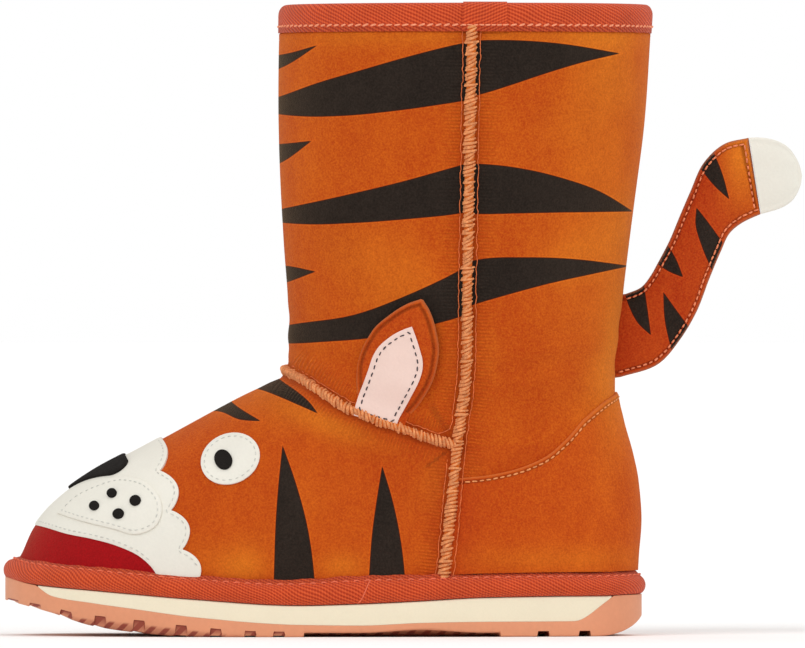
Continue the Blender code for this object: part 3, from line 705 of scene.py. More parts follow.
def slab_mesh(name, under, over):
    """Two matching grids of points joined along their rims."""
    rows, columns = under.shape[:2]
    count = rows * columns
    index = np.arange(count).reshape(rows, columns)
    rim = np.concatenate([index[0, :-1], index[:-1, -1], index[-1, :0:-1], index[:0:-1, 0]])
    faces = [quad[::-1] for quad in grid_faces(rows, columns, False, False)]
    faces += grid_faces(rows, columns, False, False, first=count)
    faces += [[i, j, j + count, i + count] for i, j in zip(rim.tolist(), np.roll(rim, -1).tolist())]
    return face_outwards(new_mesh(name, np.concatenate([under.reshape(-1, 3), over.reshape(-1, 3)]), faces))


def cut_patch(name, lift, first, second, depth, thickness, under=-0.0003):
    """Leather cut along depth's zero line and laid on lift(first, second, out), with a real cut edge."""
    rows, columns = depth.shape
    index = np.arange(rows * columns).reshape(rows, columns)
    a, b, c, d = (s.ravel() for s in (index[:-1, :-1], index[:-1, 1:], index[1:, 1:], index[1:, :-1]))
    triangles = np.concatenate([np.stack([a, b, c], 1), np.stack([a, c, d], 1)])
    depth = depth.ravel()
    depth = np.where(np.abs(depth) < 2e-5, -2e-5, depth)
    inside = depth > 0
    coordinates = np.stack([first.ravel(), second.ravel()], axis=1)
    known, places, depths = {}, [], []

    def vertex(key, at, how_deep):
        if key not in known:
            known[key] = len(places)
            places.append(at)
            depths.append(how_deep)
        return known[key]

    polygons, rim = [], []
    for triangle in triangles[inside[triangles].any(axis=1)].tolist():
        ring, cut = [], []
        for i, j in zip(triangle, triangle[1:] + triangle[:1]):
            if inside[i]:
                ring.append(vertex(i, coordinates[i], depth[i]))
            if inside[i] != inside[j]:
                low, high = min(i, j), max(i, j)
                share = depth[low] / (depth[low] - depth[high])
                at = coordinates[low] + share * (coordinates[high] - coordinates[low])
                crossing = vertex((low, high), at, 0.0)
                ring.append(crossing)
                cut.append((inside[i], crossing))
        polygons.append(ring)
        if len(cut) == 2:
            leaving = [v for was_inside, v in cut if was_inside][0]
            entering = [v for was_inside, v in cut if not was_inside][0]
            rim.append((leaving, entering))
    places, depths = np.array(places), np.array(depths)
    count = len(places)
    over = lift(places[:, 0], places[:, 1], thickness * (0.72 + 0.28 * rounded(depths, thickness)))
    below = lift(places[:, 0], places[:, 1], np.full(count, under))
    faces = polygons + [[v + count for v in reversed(p)] for p in polygons]
    faces += [[j, i, i + count, j + count] for i, j in rim]
    return face_outwards(new_mesh(name, np.concatenate([over, below]), faces))


def add_values(mesh, name, values):
    mesh.attributes.new(name, "FLOAT", "POINT").data.foreach_set("value", np.ravel(values).astype(np.float32))


def add_stripes(mesh, depths):
    for name, values in zip(STRIPE_VALUES, depths):
        add_values(mesh, name, values)


def map_weave(mesh, u, v):
    """The weave's map in metres, a pair of values for each corner of each face."""
    values = np.stack([u, v], axis=1).ravel().astype(np.float32)
    mesh.uv_layers.new(name="weave").data.foreach_set("uv", values)


def face_corners(mesh):
    corners = np.zeros(len(mesh.loops), int)
    mesh.loops.foreach_get("vertex_index", corners)
    return corners


def add_weave_map(mesh, along, across):
    """The weave's map on a ring mesh whose first axis runs across the tape."""
    rows, columns = len(across) - 1, len(along) - 1
    u = np.stack([along[:-1], along[1:], along[1:], along[:-1]], axis=-1)
    v = np.stack([across[:-1], across[:-1], across[1:], across[1:]], axis=-1)
    corner_u = np.broadcast_to(u[None], (rows, columns, 4)).reshape(-1)
    corner_v = np.broadcast_to(v[:, None], (rows, columns, 4)).reshape(-1)
    wanted = np.array(grid_faces(rows, columns, True, True)).reshape(-1, 4)
    found = face_corners(mesh).reshape(-1, 4)
    order = np.argmax(found[:, :, None] == wanted[:, None, :], axis=2)
    pick = (np.arange(len(found))[:, None] * 4 + order).reshape(-1)
    map_weave(mesh, corner_u[pick], corner_v[pick])


def add_object(name, data):
    made = bpy.data.objects.new(name, data)
    bpy.context.scene.collection.objects.link(made)
    return made


def finish_piece(mesh, material, slot, stands_for=(), sharp=None):
    """A piece of that mesh which rides on the boot's one body."""
    if material is not None:
        mesh.materials.clear()
        mesh.materials.append(material)
        mesh.shade_smooth()
    if sharp is not None:
        mesh.set_sharp_from_angle(angle=math.radians(sharp))
    piece = add_object(mesh.name, mesh)
    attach(piece, "root")
    if stands_for:
        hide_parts(*stands_for)
    return piece


# Materials


def add_node(tree, kind, inputs=None, **settings):
    """A new node with its settings, and inputs that are set, or linked where a socket is given."""
    made = tree.nodes.new(kind)
    for key, value in settings.items():
        setattr(made, key, value)
    for key, value in (inputs or {}).items():
        if isinstance(value, bpy.types.NodeSocket):
            tree.links.new(value, made.inputs[key])
        else:
            made.inputs[key].default_value = value
    return made


def shader_node(tree, kind, inputs=None, **settings):
    """The first output of a new shader node."""
    return add_node(tree, "ShaderNode" + kind, inputs, **settings).outputs[0]


def geometry_node(tree, kind, inputs=None, **settings):
    """The first output of a new geometry node."""
    return add_node(tree, "GeometryNode" + kind, inputs, **settings).outputs[0]


def maths(tree, operation, *values):
    return shader_node(tree, "Math", dict(enumerate(values)), operation=operation)


def multiply(tree, first, second):
    return maths(tree, "MULTIPLY", first, second)


def wave(tree, value, count):
    """A sine wave of that many radians to one unit of the value."""
    return maths(tree, "SINE", multiply(tree, value, count))


def noise_value(tree, vector, scale, detail, roughness=0.5):
    inputs = {"Vector": vector, "Scale": scale, "Detail": detail, "Roughness": roughness}
    return shader_node(tree, "TexNoise", inputs)


def mix_colours(tree, share, first, second, blend="MIX"):
    first, second = ((*c, 1.0) if isinstance(c, (tuple, list)) else c for c in (first, second))
    inputs = {0: share, 6: first, 7: second}
    return add_node(tree, "ShaderNodeMix", inputs, data_type="RGBA", blend_type=blend).outputs[2]


def shade_colour(tree, colour, factor):
    """A colour made darker or lighter by a factor."""
    return mix_colours(tree, 1.0, colour, factor, "MULTIPLY")


def map_range(tree, value, low, high, to_low=0.0, to_high=1.0):
    inputs = {"Value": value, "From Min": low, "From Max": high, "To Min": to_low, "To Max": to_high}
    return shader_node(tree, "MapRange", inputs)


def node_group(name, kind, inputs, outputs, build):
    """A node group, built the first time that it is asked for. An input is given by its kind of socket, or as
    a number by its default, and build gives the socket that feeds each output."""
    group = bpy.data.node_groups.get(name)
    if group is None:
        group = bpy.data.node_groups.new(name, kind)
        for label, given in inputs.items():
            is_kind = isinstance(given, str)
            socket_kind = given if is_kind else "NodeSocketFloat"
            socket = group.interface.new_socket(label, in_out="INPUT", socket_type=socket_kind)
            if not is_kind:
                socket.default_value = given
        for label, socket_kind in outputs.items():
            group.interface.new_socket(label, in_out="OUTPUT", socket_type=socket_kind)
        source = group.nodes.new("NodeGroupInput").outputs
        target = group.nodes.new("NodeGroupOutput").inputs
        for label, socket in build(group, source).items():
            group.links.new(socket, target[label])
    return group


def shader_group(name, inputs, outputs, build):
    """A shader node group that reads a place and puts out values."""
    inputs = {"Vector": "NodeSocketVector", **inputs}
    return node_group(name, "ShaderNodeTree", inputs, dict.fromkeys(outputs, "NodeSocketFloat"), build)


def nap_group():
    """Suede nap: broad brush marks, flecks and fine fibres."""

    def build(tree, source):
        at = source["Vector"]
        brushed = shader_node(tree, "VectorMath", {0: at, 1: (1.0, 1.0, 0.55)}, operation="MULTIPLY")
        tones = []
        for vector, scale, detail, share in (
            (brushed, "Brush scale", 3.0, 0.36),
            (at, "Fleck scale", 3.0, 0.20),
            (at, "Fibre scale", 4.0, 0.66),
        ):
            marks = noise_value(tree, vector, source[scale], detail, 0.65)
            tones.append(map_range(tree, marks, 0.36, 0.64, 0.0, share))
        brush, fleck, fibre = tones
        tone = maths(tree, "ADD", maths(tree, "ADD", brush, fleck), fibre)
        return {"Tone": maths(tree, "SUBTRACT", tone, 0.11), "Height": marks}

    scales = {"Fibre scale": 1700.0, "Fleck scale": 620.0, "Brush scale": 42.0}
    return shader_group("nap", scales, ("Tone", "Height"), build)


def weave_group():
    """Twill tape: slanting ribs that wander a little, crossed by single yarns."""

    def build(tree, source):
        along, across, _ = add_node(tree, "ShaderNodeSeparateXYZ", {0: source["Vector"]}).outputs
        bends = noise_value(tree, source["Vector"], 60.0, 1.0)
        wander = maths(tree, "MULTIPLY_ADD", bends, source["Wander"], across)
        slant = maths(tree, "MULTIPLY_ADD", along, source["Slant"], wander)
        yarns = multiply(tree, wave(tree, along, source["Yarn count"]), 0.15)
        height = maths(tree, "MULTIPLY_ADD", wave(tree, slant, source["Rib count"]), 0.30, yarns)
        return {"Height": maths(tree, "ADD", height, 0.5)}

    counts = {
        "Slant": 0.5, "Wander": 0.004, "Rib count": 2 * math.pi / 0.0011, "Yarn count": 2 * math.pi / 0.0009,
    }
    return shader_group("twill", counts, ("Height",), build)


def mottle_group():
    """Small unevenness of leather, foam and rubber."""

    def build(tree, source):
        fine = noise_value(tree, source["Vector"], source["Grain scale"], 3.0)
        broad = noise_value(tree, source["Vector"], source["Cloud scale"], 2.0)
        tone = maths(tree, "MULTIPLY_ADD", fine, 0.4, multiply(tree, broad, 0.6))
        return {"Tone": map_range(tree, tone, 0.32, 0.68), "Height": fine}

    return shader_group("mottle", {"Grain scale": 900.0, "Cloud scale": 70.0}, ("Tone", "Height"), build)


def use_group(tree, group, vector, **values):
    made = add_node(tree, "ShaderNodeGroup", node_tree=group)
    tree.links.new(vector, made.inputs["Vector"])
    for name, value in values.items():
        made.inputs[name.replace("_", " ").capitalize()].default_value = value
    return made.outputs


def shades(colour, spread):
    """A darker and a lighter shade of a colour."""
    return tuple(c * (1 - spread) for c in colour), tuple(min(1.0, c * (1 + spread)) for c in colour)


def make_material(name, roughness, build):
    """A material, made the first time that it is asked for. build wires its shader."""
    made = bpy.data.materials.get(name)
    if made is None:
        made = bpy.data.materials.new(name)
        made.use_nodes = True
        tree = made.node_tree
        shader = tree.nodes["Principled BSDF"]
        shader.inputs["Roughness"].default_value = roughness
        shader.inputs["Metallic"].default_value = 0.0
        build(tree, shader, add_node(tree, "ShaderNodeTexCoord").outputs)
    return made


def bump(tree, shader, height, depth, strength=1.0):
    made = add_node(tree, "ShaderNodeBump", {"Height": height, "Distance": depth, "Strength": strength})
    tree.links.new(made.outputs[0], shader.inputs["Normal"])


def read_value(tree, name):
    return add_node(tree, "ShaderNodeAttribute", attribute_name=name).outputs["Fac"]


def dye_stripes(tree, nap, colour):
    """Dyed stripes with ragged edges, and a pale halo round them."""
    inputs = {0: read_value(tree, STRIPE_VALUES[0]), 1: read_value(tree, STRIPE_VALUES[1]), 2: 0.7}
    within = shader_node(tree, "Math", inputs, operation="SMOOTH_MIN")
    depth = maths(tree, "ADD", within, maths(tree, "MULTIPLY_ADD", nap["Height"], 0.22, -0.11))
    dye = mix_colours(tree, nap["Tone"], *shades(colours().stripe, 0.45))
    run_out = map_range(tree, depth, 0.1, 0.45, 0.8, 0.0)
    dye = mix_colours(tree, run_out, dye, tuple(colours().stripe_edge))
    colour = shade_colour(tree, colour, map_range(tree, depth, -0.55, -0.15, 1.0, 1.14))
    return mix_colours(tree, map_range(tree, depth, -0.08, 0.08), colour, dye)


def gather_seams(tree, nap, colour):
    """Suede gathered along the seams: its colour, with painted light and shade on the ripples and painted
    shade in the grooves beside the seams, and its height with the ripples added.
    """
    gap = read_value(tree, "seam_gap")
    near = multiply(tree, map_range(tree, gap, 2.6, 3.4), map_range(tree, gap, 5.0, 10.0, 1.0, 0.0))
    ripple = multiply(tree, wave(tree, read_value(tree, "seam_along"), 2 * math.pi / RIPPLE_PITCH), near)
    ripple = multiply(tree, ripple, map_range(tree, nap["Tone"], 0.2, 0.8, 0.4, 1.0))
    # Painted light and shade: the ripples lighter on their crests and darker in their troughs
    colour = shade_colour(tree, colour, map_range(tree, ripple, -1.0, 1.0, 0.78, 1.12))
    # Painted shade in the grooves beside the seams
    colour = shade_colour(tree, colour, map_range(tree, gap, 2.2, 3.1, 0.78, 1.0))
    return colour, maths(tree, "MULTIPLY_ADD", ripple, 0.7, nap["Height"])


def suede_material(name, light, dark, striped=False, sewn=False, edge=None, tints=()):
    """Napped suede, with other tints, dyed stripes, gathers along seams, and a cut edge, given by its colour
    and by how far from it stitches pull in a groove, with painted shade in that groove, where it has them."""

    def build(tree, shader, coordinates):
        nap = use_group(tree, nap_group(), coordinates["Object"])
        colour = mix_colours(tree, nap["Tone"], tuple(dark), tuple(light))
        height = nap["Height"]
        for value, tint in tints:
            second = mix_colours(tree, nap["Tone"], *shades(tint, 0.2))
            colour = mix_colours(tree, read_value(tree, value), colour, second)
        if striped:
            colour = dye_stripes(tree, nap, colour)
        if edge is not None:
            edge_colour, stitched = edge
            from_edge = read_value(tree, "from_edge")
            raw = maths(tree, "MULTIPLY_ADD", nap["Height"], 1.6, from_edge)
            colour = mix_colours(tree, map_range(tree, raw, 0.9, 1.6, 0.85, 0.0), colour, tuple(edge_colour))
            # Painted shade in the groove along the stitch line
            off_line = maths(tree, "ABSOLUTE", maths(tree, "SUBTRACT", from_edge, stitched / MM))
            colour = shade_colour(tree, colour, map_range(tree, off_line, 0.25, 0.75, 0.62, 1.0))
        if sewn:
            colour, height = gather_seams(tree, nap, colour)
        tree.links.new(colour, shader.inputs["Base Color"])
        shader.inputs["Sheen Weight"].default_value = 0.14
        shader.inputs["Sheen Roughness"].default_value = 0.45
        shader.inputs["Sheen Tint"].default_value = (1.0, 0.62, 0.30, 1.0)
        shader.inputs["Specular IOR Level"].default_value = 0.12
        bump(tree, shader, height, 0.00045, 0.6)

    return make_material(name, 0.95, build)


def tape_material():
    """Woven tape, with painted shade between its ribs and in a band along its first edge."""

    def build(tree, shader, coordinates):
        weave = use_group(tree, weave_group(), coordinates["UV"])["Height"]
        mottle = use_group(tree, mottle_group(), coordinates["Object"], cloud_scale=110.0)["Tone"]
        ribs = map_range(tree, weave, 0.15, 0.85)
        # Painted shade in the gaps between the ribs
        colour = mix_colours(tree, ribs, tuple(colours().tape_gap_shade), tuple(colours().tape))
        colour = shade_colour(tree, colour, map_range(tree, mottle, 0.0, 1.0, 0.9, 1.08))
        # Painted shade in a band along the first edge
        from_edge = add_node(tree, "ShaderNodeSeparateXYZ", {0: coordinates["UV"]}).outputs[1]
        colour = shade_colour(tree, colour, map_range(tree, from_edge, 0.0013, 0.0021, 0.80, 1.0))
        tree.links.new(colour, shader.inputs["Base Color"])
        shader.inputs["Specular IOR Level"].default_value = 0.25
        shader.inputs["Sheen Weight"].default_value = 0.10
        bump(tree, shader, weave, 0.0005, 0.7)

    return make_material("tape_twill", 0.8, build)


def lug_gaps(tree, position):
    """A mask of painted shade in slanting gaps along the sole, full in the gaps and a quarter between them.
    """
    _, y, z = add_node(tree, "ShaderNodeSeparateXYZ", {0: position}).outputs
    along = maths(tree, "MULTIPLY_ADD", z, LUG_SLANT, y)
    return map_range(tree, wave(tree, along, 2 * math.pi / LUG_PITCH), 0.0, 0.6, 0.25, 1.0)


def plain_material(name, colour, roughness, spread, depth, specular=0.4, tint=None, **scales):
    """Leather, foam, rubber, felt or thread: one colour with cloudy shades and a fine grain, and painted
    shade of another tint in slanting gaps where the attribute that goes with it says so."""

    def build(tree, shader, coordinates):
        mottle = use_group(tree, mottle_group(), coordinates["Object"], **scales)
        mixed = mix_colours(tree, mottle["Tone"], *shades(colour, spread))
        if tint is not None:
            value, second = tint
            gaps = multiply(tree, read_value(tree, value), lug_gaps(tree, coordinates["Object"]))
            mixed = mix_colours(tree, gaps, mixed, tuple(second))
        tree.links.new(mixed, shader.inputs["Base Color"])
        dull, shiny = min(1.0, roughness + 0.06), roughness - 0.06
        tree.links.new(map_range(tree, mottle["Tone"], 0.0, 1.0, dull, shiny), shader.inputs["Roughness"])
        shader.inputs["Specular IOR Level"].default_value = specular
        bump(tree, shader, mottle["Height"], depth, 0.6)

    return make_material(name, roughness, build)


def white_leather():
    return plain_material("white_leather", colours().white, 0.55, 0.03, 0.00012, grain_scale=1100.0)


def thread_material(name, colour, spread=0.16):
    scales = {"grain_scale": 3200.0, "cloud_scale": 700.0}
    return plain_material(name, colour, 0.7, spread, 0.00025, specular=0.3, **scales)


def shade_and_sheen_tints():
    """Tints of painted shade with a redder tone, and of painted sheen with a golden tone, with the attributes
    that they follow.
    """
    return ("painted_shade_and_tone", colours().painted_shade_and_tone), ("gold_and_sheen", colours().painted_sheen_tint)


def striped_suede():
    light, dark = colours().suede_light, colours().suede_dark
    return suede_material("suede_striped", light, dark, striped=True, sewn=True, tints=shade_and_sheen_tints())


# Geometry Nodes that sew


def nodes_tree(name, inputs, build):
    """A Geometry Nodes tree with named inputs, whose shapes are made real, smooth and of one material."""

    def finish(tree, source):
        real = geometry_node(tree, "RealizeInstances", {"Geometry": build(tree, source)})
        soft = geometry_node(tree, "SetShadeSmooth", {"Geometry": real})
        inputs = {"Geometry": soft, "Material": source["Material"]}
        return {"Geometry": geometry_node(tree, "SetMaterial", inputs)}

    inputs = {"Geometry": "NodeSocketGeometry", "Material": "NodeSocketMaterial", **inputs}
    return node_group(name, "GeometryNodeTree", inputs, {"Geometry": "NodeSocketGeometry"}, finish)


def vector_node(tree, x=0.0, y=0.0, z=0.0):
    return shader_node(tree, "CombineXYZ", {0: x, 1: y, 2: z})


def thread_tube(tree, curve, radius, sides):
    """A round thread with closed ends along a curve."""
    ring = geometry_node(tree, "CurvePrimitiveCircle", {"Resolution": sides, "Radius": radius})
    return geometry_node(tree, "CurveToMesh", {"Curve": curve, "Profile Curve": ring, "Fill Caps": True})


def thread_arc(tree, start, middle, end, radius, steps=6, sides=6):
    """A short bent thread through three points."""
    inputs = {"Resolution": steps, "Start": start, "Middle": middle, "End": end}
    return thread_tube(tree, geometry_node(tree, "CurveQuadraticBezier", inputs), radius, sides)


def by_chance(tree, low, high, seed):
    """A vector between two others, drawn anew for each point."""
    inputs = {"Min": low, "Max": high, "Seed": seed}
    return add_node(tree, "FunctionNodeRandomValue", inputs, data_type="FLOAT_VECTOR").outputs[0]


def turned(tree, rotation, turn):
    inputs = {"Rotation": rotation, "Rotate By": turn}
    return add_node(tree, "FunctionNodeRotateRotation", inputs, rotation_space="LOCAL").outputs[0]


def along_rows(tree, source, shape, seed, turn=0.12, stretch=0.10):
    """Copies of a shape along the rows, standing on the surface and turned a little by chance."""
    rows = geometry_node(tree, "MeshToCurve", {"Mesh": source["Geometry"]})
    points = geometry_node(tree, "ResampleCurve", {"Curve": rows, "Length": source["Pitch"]}, mode="LENGTH")
    upright = geometry_node(tree, "InputNamedAttribute", {"Name": "surface_normal"}, data_type="FLOAT_VECTOR")
    axes = {"Primary Axis": upright, "Secondary Axis": geometry_node(tree, "InputTangent")}
    stand = add_node(
        tree, "FunctionNodeAxesToRotation", axes, primary_axis="Z", secondary_axis="X"
    ).outputs[0]
    swing = by_chance(tree, (0.0, 0.0, -turn), (0.0, 0.0, turn), seed)
    scale = by_chance(tree, (1 - stretch,) * 3, (1 + stretch,) * 3, seed + 1)
    inputs = {"Points": points, "Instance": shape, "Rotation": turned(tree, stand, swing), "Scale": scale}
    return geometry_node(tree, "InstanceOnPoints", inputs)


def stitch_tree():
    """Single stitches that dip into the surface at both ends."""

    def build(tree, source):
        half, back = (multiply(tree, source["Length"], share) for share in (0.5, -0.5))
        rise, drop = (multiply(tree, end, source["Slant"]) for end in (half, back))
        sink, top = (multiply(tree, source["Radius"], share) for share in (-1.4, 2.6))
        start, end = vector_node(tree, back, drop, sink), vector_node(tree, half, rise, sink)
        shape = thread_arc(tree, start, vector_node(tree, 0.0, 0.0, top), end, source["Radius"])
        return along_rows(tree, source, shape, seed=4)

    sizes_in = {"Pitch": 0.003, "Length": 0.002, "Radius": 0.0002, "Slant": 0.0}
    return nodes_tree("stitch_rows", sizes_in, build)


def overlock_tree():
    """Overlock strands: pairs of slanting threads that cross a seam's ridge, one thick and one thin."""

    def build(tree, source):
        left, right = (multiply(tree, source["Width"], share) for share in (-0.5, 0.5))
        top = multiply(tree, source["Height"], 2.0)
        pair = tree.nodes.new("GeometryNodeJoinGeometry")
        for start, end, share in ((0.72, -0.62, 1.0), (0.30, -0.60, 0.80)):
            places = (start, (start + end) / 2, end)
            near, middle, far = (multiply(tree, source["Pitch"], at) for at in places)
            ends = vector_node(tree, near, left, 0.0), vector_node(tree, far, right, 0.0)
            radius = multiply(tree, source["Radius"], share)
            strand = thread_arc(tree, ends[0], vector_node(tree, middle, 0.0, top), ends[1], radius, sides=5)
            tree.links.new(strand, pair.inputs[0])
        return along_rows(tree, source, pair.outputs[0], seed=9, turn=0.32, stretch=0.14)

    sizes_in = {"Pitch": 0.0019, "Width": 0.005, "Height": 0.0016, "Radius": 0.0003}
    return nodes_tree("overlock_strands", sizes_in, build)


def thread_line_tree():
    """One thread that runs along each row and wavers a little."""

    def build(tree, source):
        rows = geometry_node(tree, "MeshToCurve", {"Mesh": source["Geometry"]})
        inputs = {"Vector": geometry_node(tree, "InputPosition"), "Scale": 420.0, "Detail": 1.0}
        waver = add_node(tree, "ShaderNodeTexNoise", inputs).outputs["Color"]
        centred = shader_node(tree, "VectorMath", {0: waver, 1: (0.5, 0.5, 0.5)}, operation="SUBTRACT")
        shift = shader_node(tree, "VectorMath", {0: centred, "Scale": source["Waver"]}, operation="SCALE")
        moved = geometry_node(tree, "SetPosition", {"Geometry": rows, "Offset": shift})
        return thread_tube(tree, moved, source["Radius"], 6)

    return nodes_tree("thread_lines", {"Radius": 0.0002, "Waver": 0.0008}, build)


def fleece_tree():
    """Curls of fleece scattered over a sheet."""

    def build(tree, source):
        inputs = {
            "Mesh": source["Geometry"], "Distance Min": source["Spacing"], "Density Max": 400000.0,
            "Seed": 3,
        }
        scattered = add_node(
            tree, "GeometryNodeDistributePointsOnFaces", inputs, distribute_method="POISSON"
        ).outputs
        top, out, low, thick = (multiply(tree, source["Pile"], share) for share in (2.1, 0.9, 0.25, 0.34))
        root, tip = vector_node(tree, 0.0, 0.0, -0.0004), vector_node(tree, out, 0.0, low)
        curl = thread_arc(tree, root, vector_node(tree, 0.0, 0.0, top), tip, thick, steps=4, sides=4)
        spin = by_chance(tree, (-0.5, -0.5, -math.pi), (0.5, 0.5, math.pi), 5)
        rotation = turned(tree, scattered["Rotation"], spin)
        inputs = {"Points": scattered["Points"], "Instance": curl, "Rotation": rotation}
        return geometry_node(tree, "InstanceOnPoints", inputs)

    return nodes_tree("fleece_curls", {"Spacing": 0.0024, "Pile": 0.002}, build)


def grow(name, mesh, tree, slot, material, **values):
    """What the tree makes of a mesh, as a piece with a plain mesh of its own."""
    host = add_object(name + "_rows", mesh)
    modifier = host.modifiers.new("Sew", "NODES")
    modifier.node_group = tree
    values["Material"] = material
    for item in tree.interface.items_tree:
        if item.in_out == "INPUT" and item.name in values:
            modifier[item.identifier] = values[item.name]
    ready = host.evaluated_get(bpy.context.evaluated_depsgraph_get())
    made = bpy.data.meshes.new_from_object(ready)
    bpy.data.objects.remove(host)
    bpy.data.meshes.remove(mesh)
    if not made.polygons:
        raise RuntimeError(name + ": the tree made no faces")
    made.name = name
    return finish_piece(made, None, slot)


def rows_mesh(rows):
    """Lines of points with the surface's normal at each: rows of (points, normals, closed)."""
    points, edges, normals = [], [], []
    for line, upright, closed in rows:
        first = len(points)
        points.extend(line.tolist())
        normals.append(upright)
        edges.extend((first + i, first + i + 1) for i in range(len(line) - 1))
        if closed:
            edges.append((first + len(line) - 1, first))
    mesh = bpy.data.meshes.new("rows")
    mesh.from_pydata(points, edges, [])
    values = np.concatenate(normals).astype(np.float32)
    mesh.attributes.new("surface_normal", "FLOAT_VECTOR", "POINT").data.foreach_set("vector", values.ravel())
    return mesh


def sew(name, rows, pitch, length, thread, material, slot, slant=0.0):
    return grow(
        name, rows_mesh(rows), stitch_tree(), slot, material,
        Pitch=pitch, Length=length, Radius=thread, Slant=slant,
    )


def pierce(name, rows, pitch, slot):
    """Needle holes halfway between the stitches of those rows: short dark dips that paint the shade inside
    the holes.
    """
    shifted = []
    for points, upright, _ in rows:
        past = run_along(points) >= pitch / 2
        shifted.append((points[past] - 0.00005 * upright[past], upright[past], False))
    # A dark colour that paints the shade inside the holes
    hole_shade = plain_material("needle_hole_shade", colours().needle_hole_shade, 0.95, 0.1, 0.0, specular=0.05)
    sew(name, shifted, pitch, 0.0006, 0.00022, hole_shade, slot)


# Rows that stitches and seams follow


def ring_row(level, out, lean=0.0):
    """A line round the boot. lean turns its normal from straight out towards straight up."""
    turns = np.arange(TAPE_TURNS) / TAPE_TURNS
    upward = np.array([0.0, 0.0, 1.0])
    upright = unit(surface_normal(turns, level) * math.cos(lean) + upward * math.sin(lean))
    return off_surface(turns, level, out), upright, True


def side_row(line, side, out):
    """A line on one side of the boot, through y, z points in millimetres."""
    line = even(line, 0.5) * MM
    turn, level = place(line[:, 0], line[:, 1], side)
    return off_surface(turn, level, out), surface_normal(turn, level), False


def side_seam_line():
    return even(flowing(SIDE_SEAM), 0.5)


def vamp_seam_pairs():
    """Turn and level of the vamp seam's points, from the inner side over the front to the outer side."""
    pairs = [(0.0, THROAT_LEVEL)]
    for side in (1, -1):
        line = np.array(VAMP_SEAM) * MM
        turn, level = place(line[:, 0], line[:, 1], side)
        pairs += list(zip(turn.tolist(), level.tolist()))
    return sorted(pairs)


def vamp_seam_level(turn):
    return smooth(vamp_seam_pairs(), turn)


def vamp_seam_places():
    """Turn and level at even steps all along the vamp seam."""
    pairs = vamp_seam_pairs()
    turns = np.linspace(pairs[0][0], pairs[-1][0], 500)
    levels = smooth(pairs, turns)
    line = even(np.column_stack([foot_surface(turns, levels), turns, levels]), 0.0005)
    return line[:, 3], line[:, 4]


def vamp_seam_line():
    """The vamp seam on the outer side in y, z, from the throat back, for distances."""
    turn, level = vamp_seam_places()
    outer = turn >= 0
    return even(foot_surface(turn[outer], level[outer])[:, 1:] / MM, 0.8)


def seam_rows():
    """Both side seams and the vamp seam on the foot surface."""
    rows = [side_row(side_seam_line(), side, 0.0) for side in (1, -1)]
    turn, level = vamp_seam_places()
    rows.append((foot_surface(turn, level), surface_normal(turn, level), False))
    return rows


def closed_row(line, side, out):
    """A closed line on one side of the boot, through y, z points in millimetres."""
    points, upright, _ = side_row(np.vstack([line, line[:1]]), side, out)
    return points[:-1], upright[:-1], True


def sideways_of(points, upright):
    """Directions along the surface that cross a row."""
    return unit(np.cross(upright, np.gradient(points, axis=0)))


def beside(row, distance, lift):
    """The row moved sideways along the surface, and lifted off it."""
    points, upright, closed = row
    drop = distance**2 / SURFACE_BEND
    moved = points + sideways_of(points, upright) * distance + upright * (lift - drop)
    return moved, upright, closed


# Pieces


def soft_spots(table, y, z, ridges=0.0):
    """Long soft spots added up, each with a fall on both sides where ridges is above zero."""
    total = np.zeros(np.shape(y))
    for at_y, at_z, direction, half_length, half_width, strength in table:
        cosine, sine = math.cos(math.radians(direction)), math.sin(math.radians(direction))
        along = ((y - at_y) * cosine + (z - at_z) * sine) / half_length
        across = ((z - at_z) * cosine - (y - at_y) * sine) / half_width
        total += strength * np.exp(-(along**2)) * (1 - ridges * across**2) * np.exp(-(across**2))
    return total


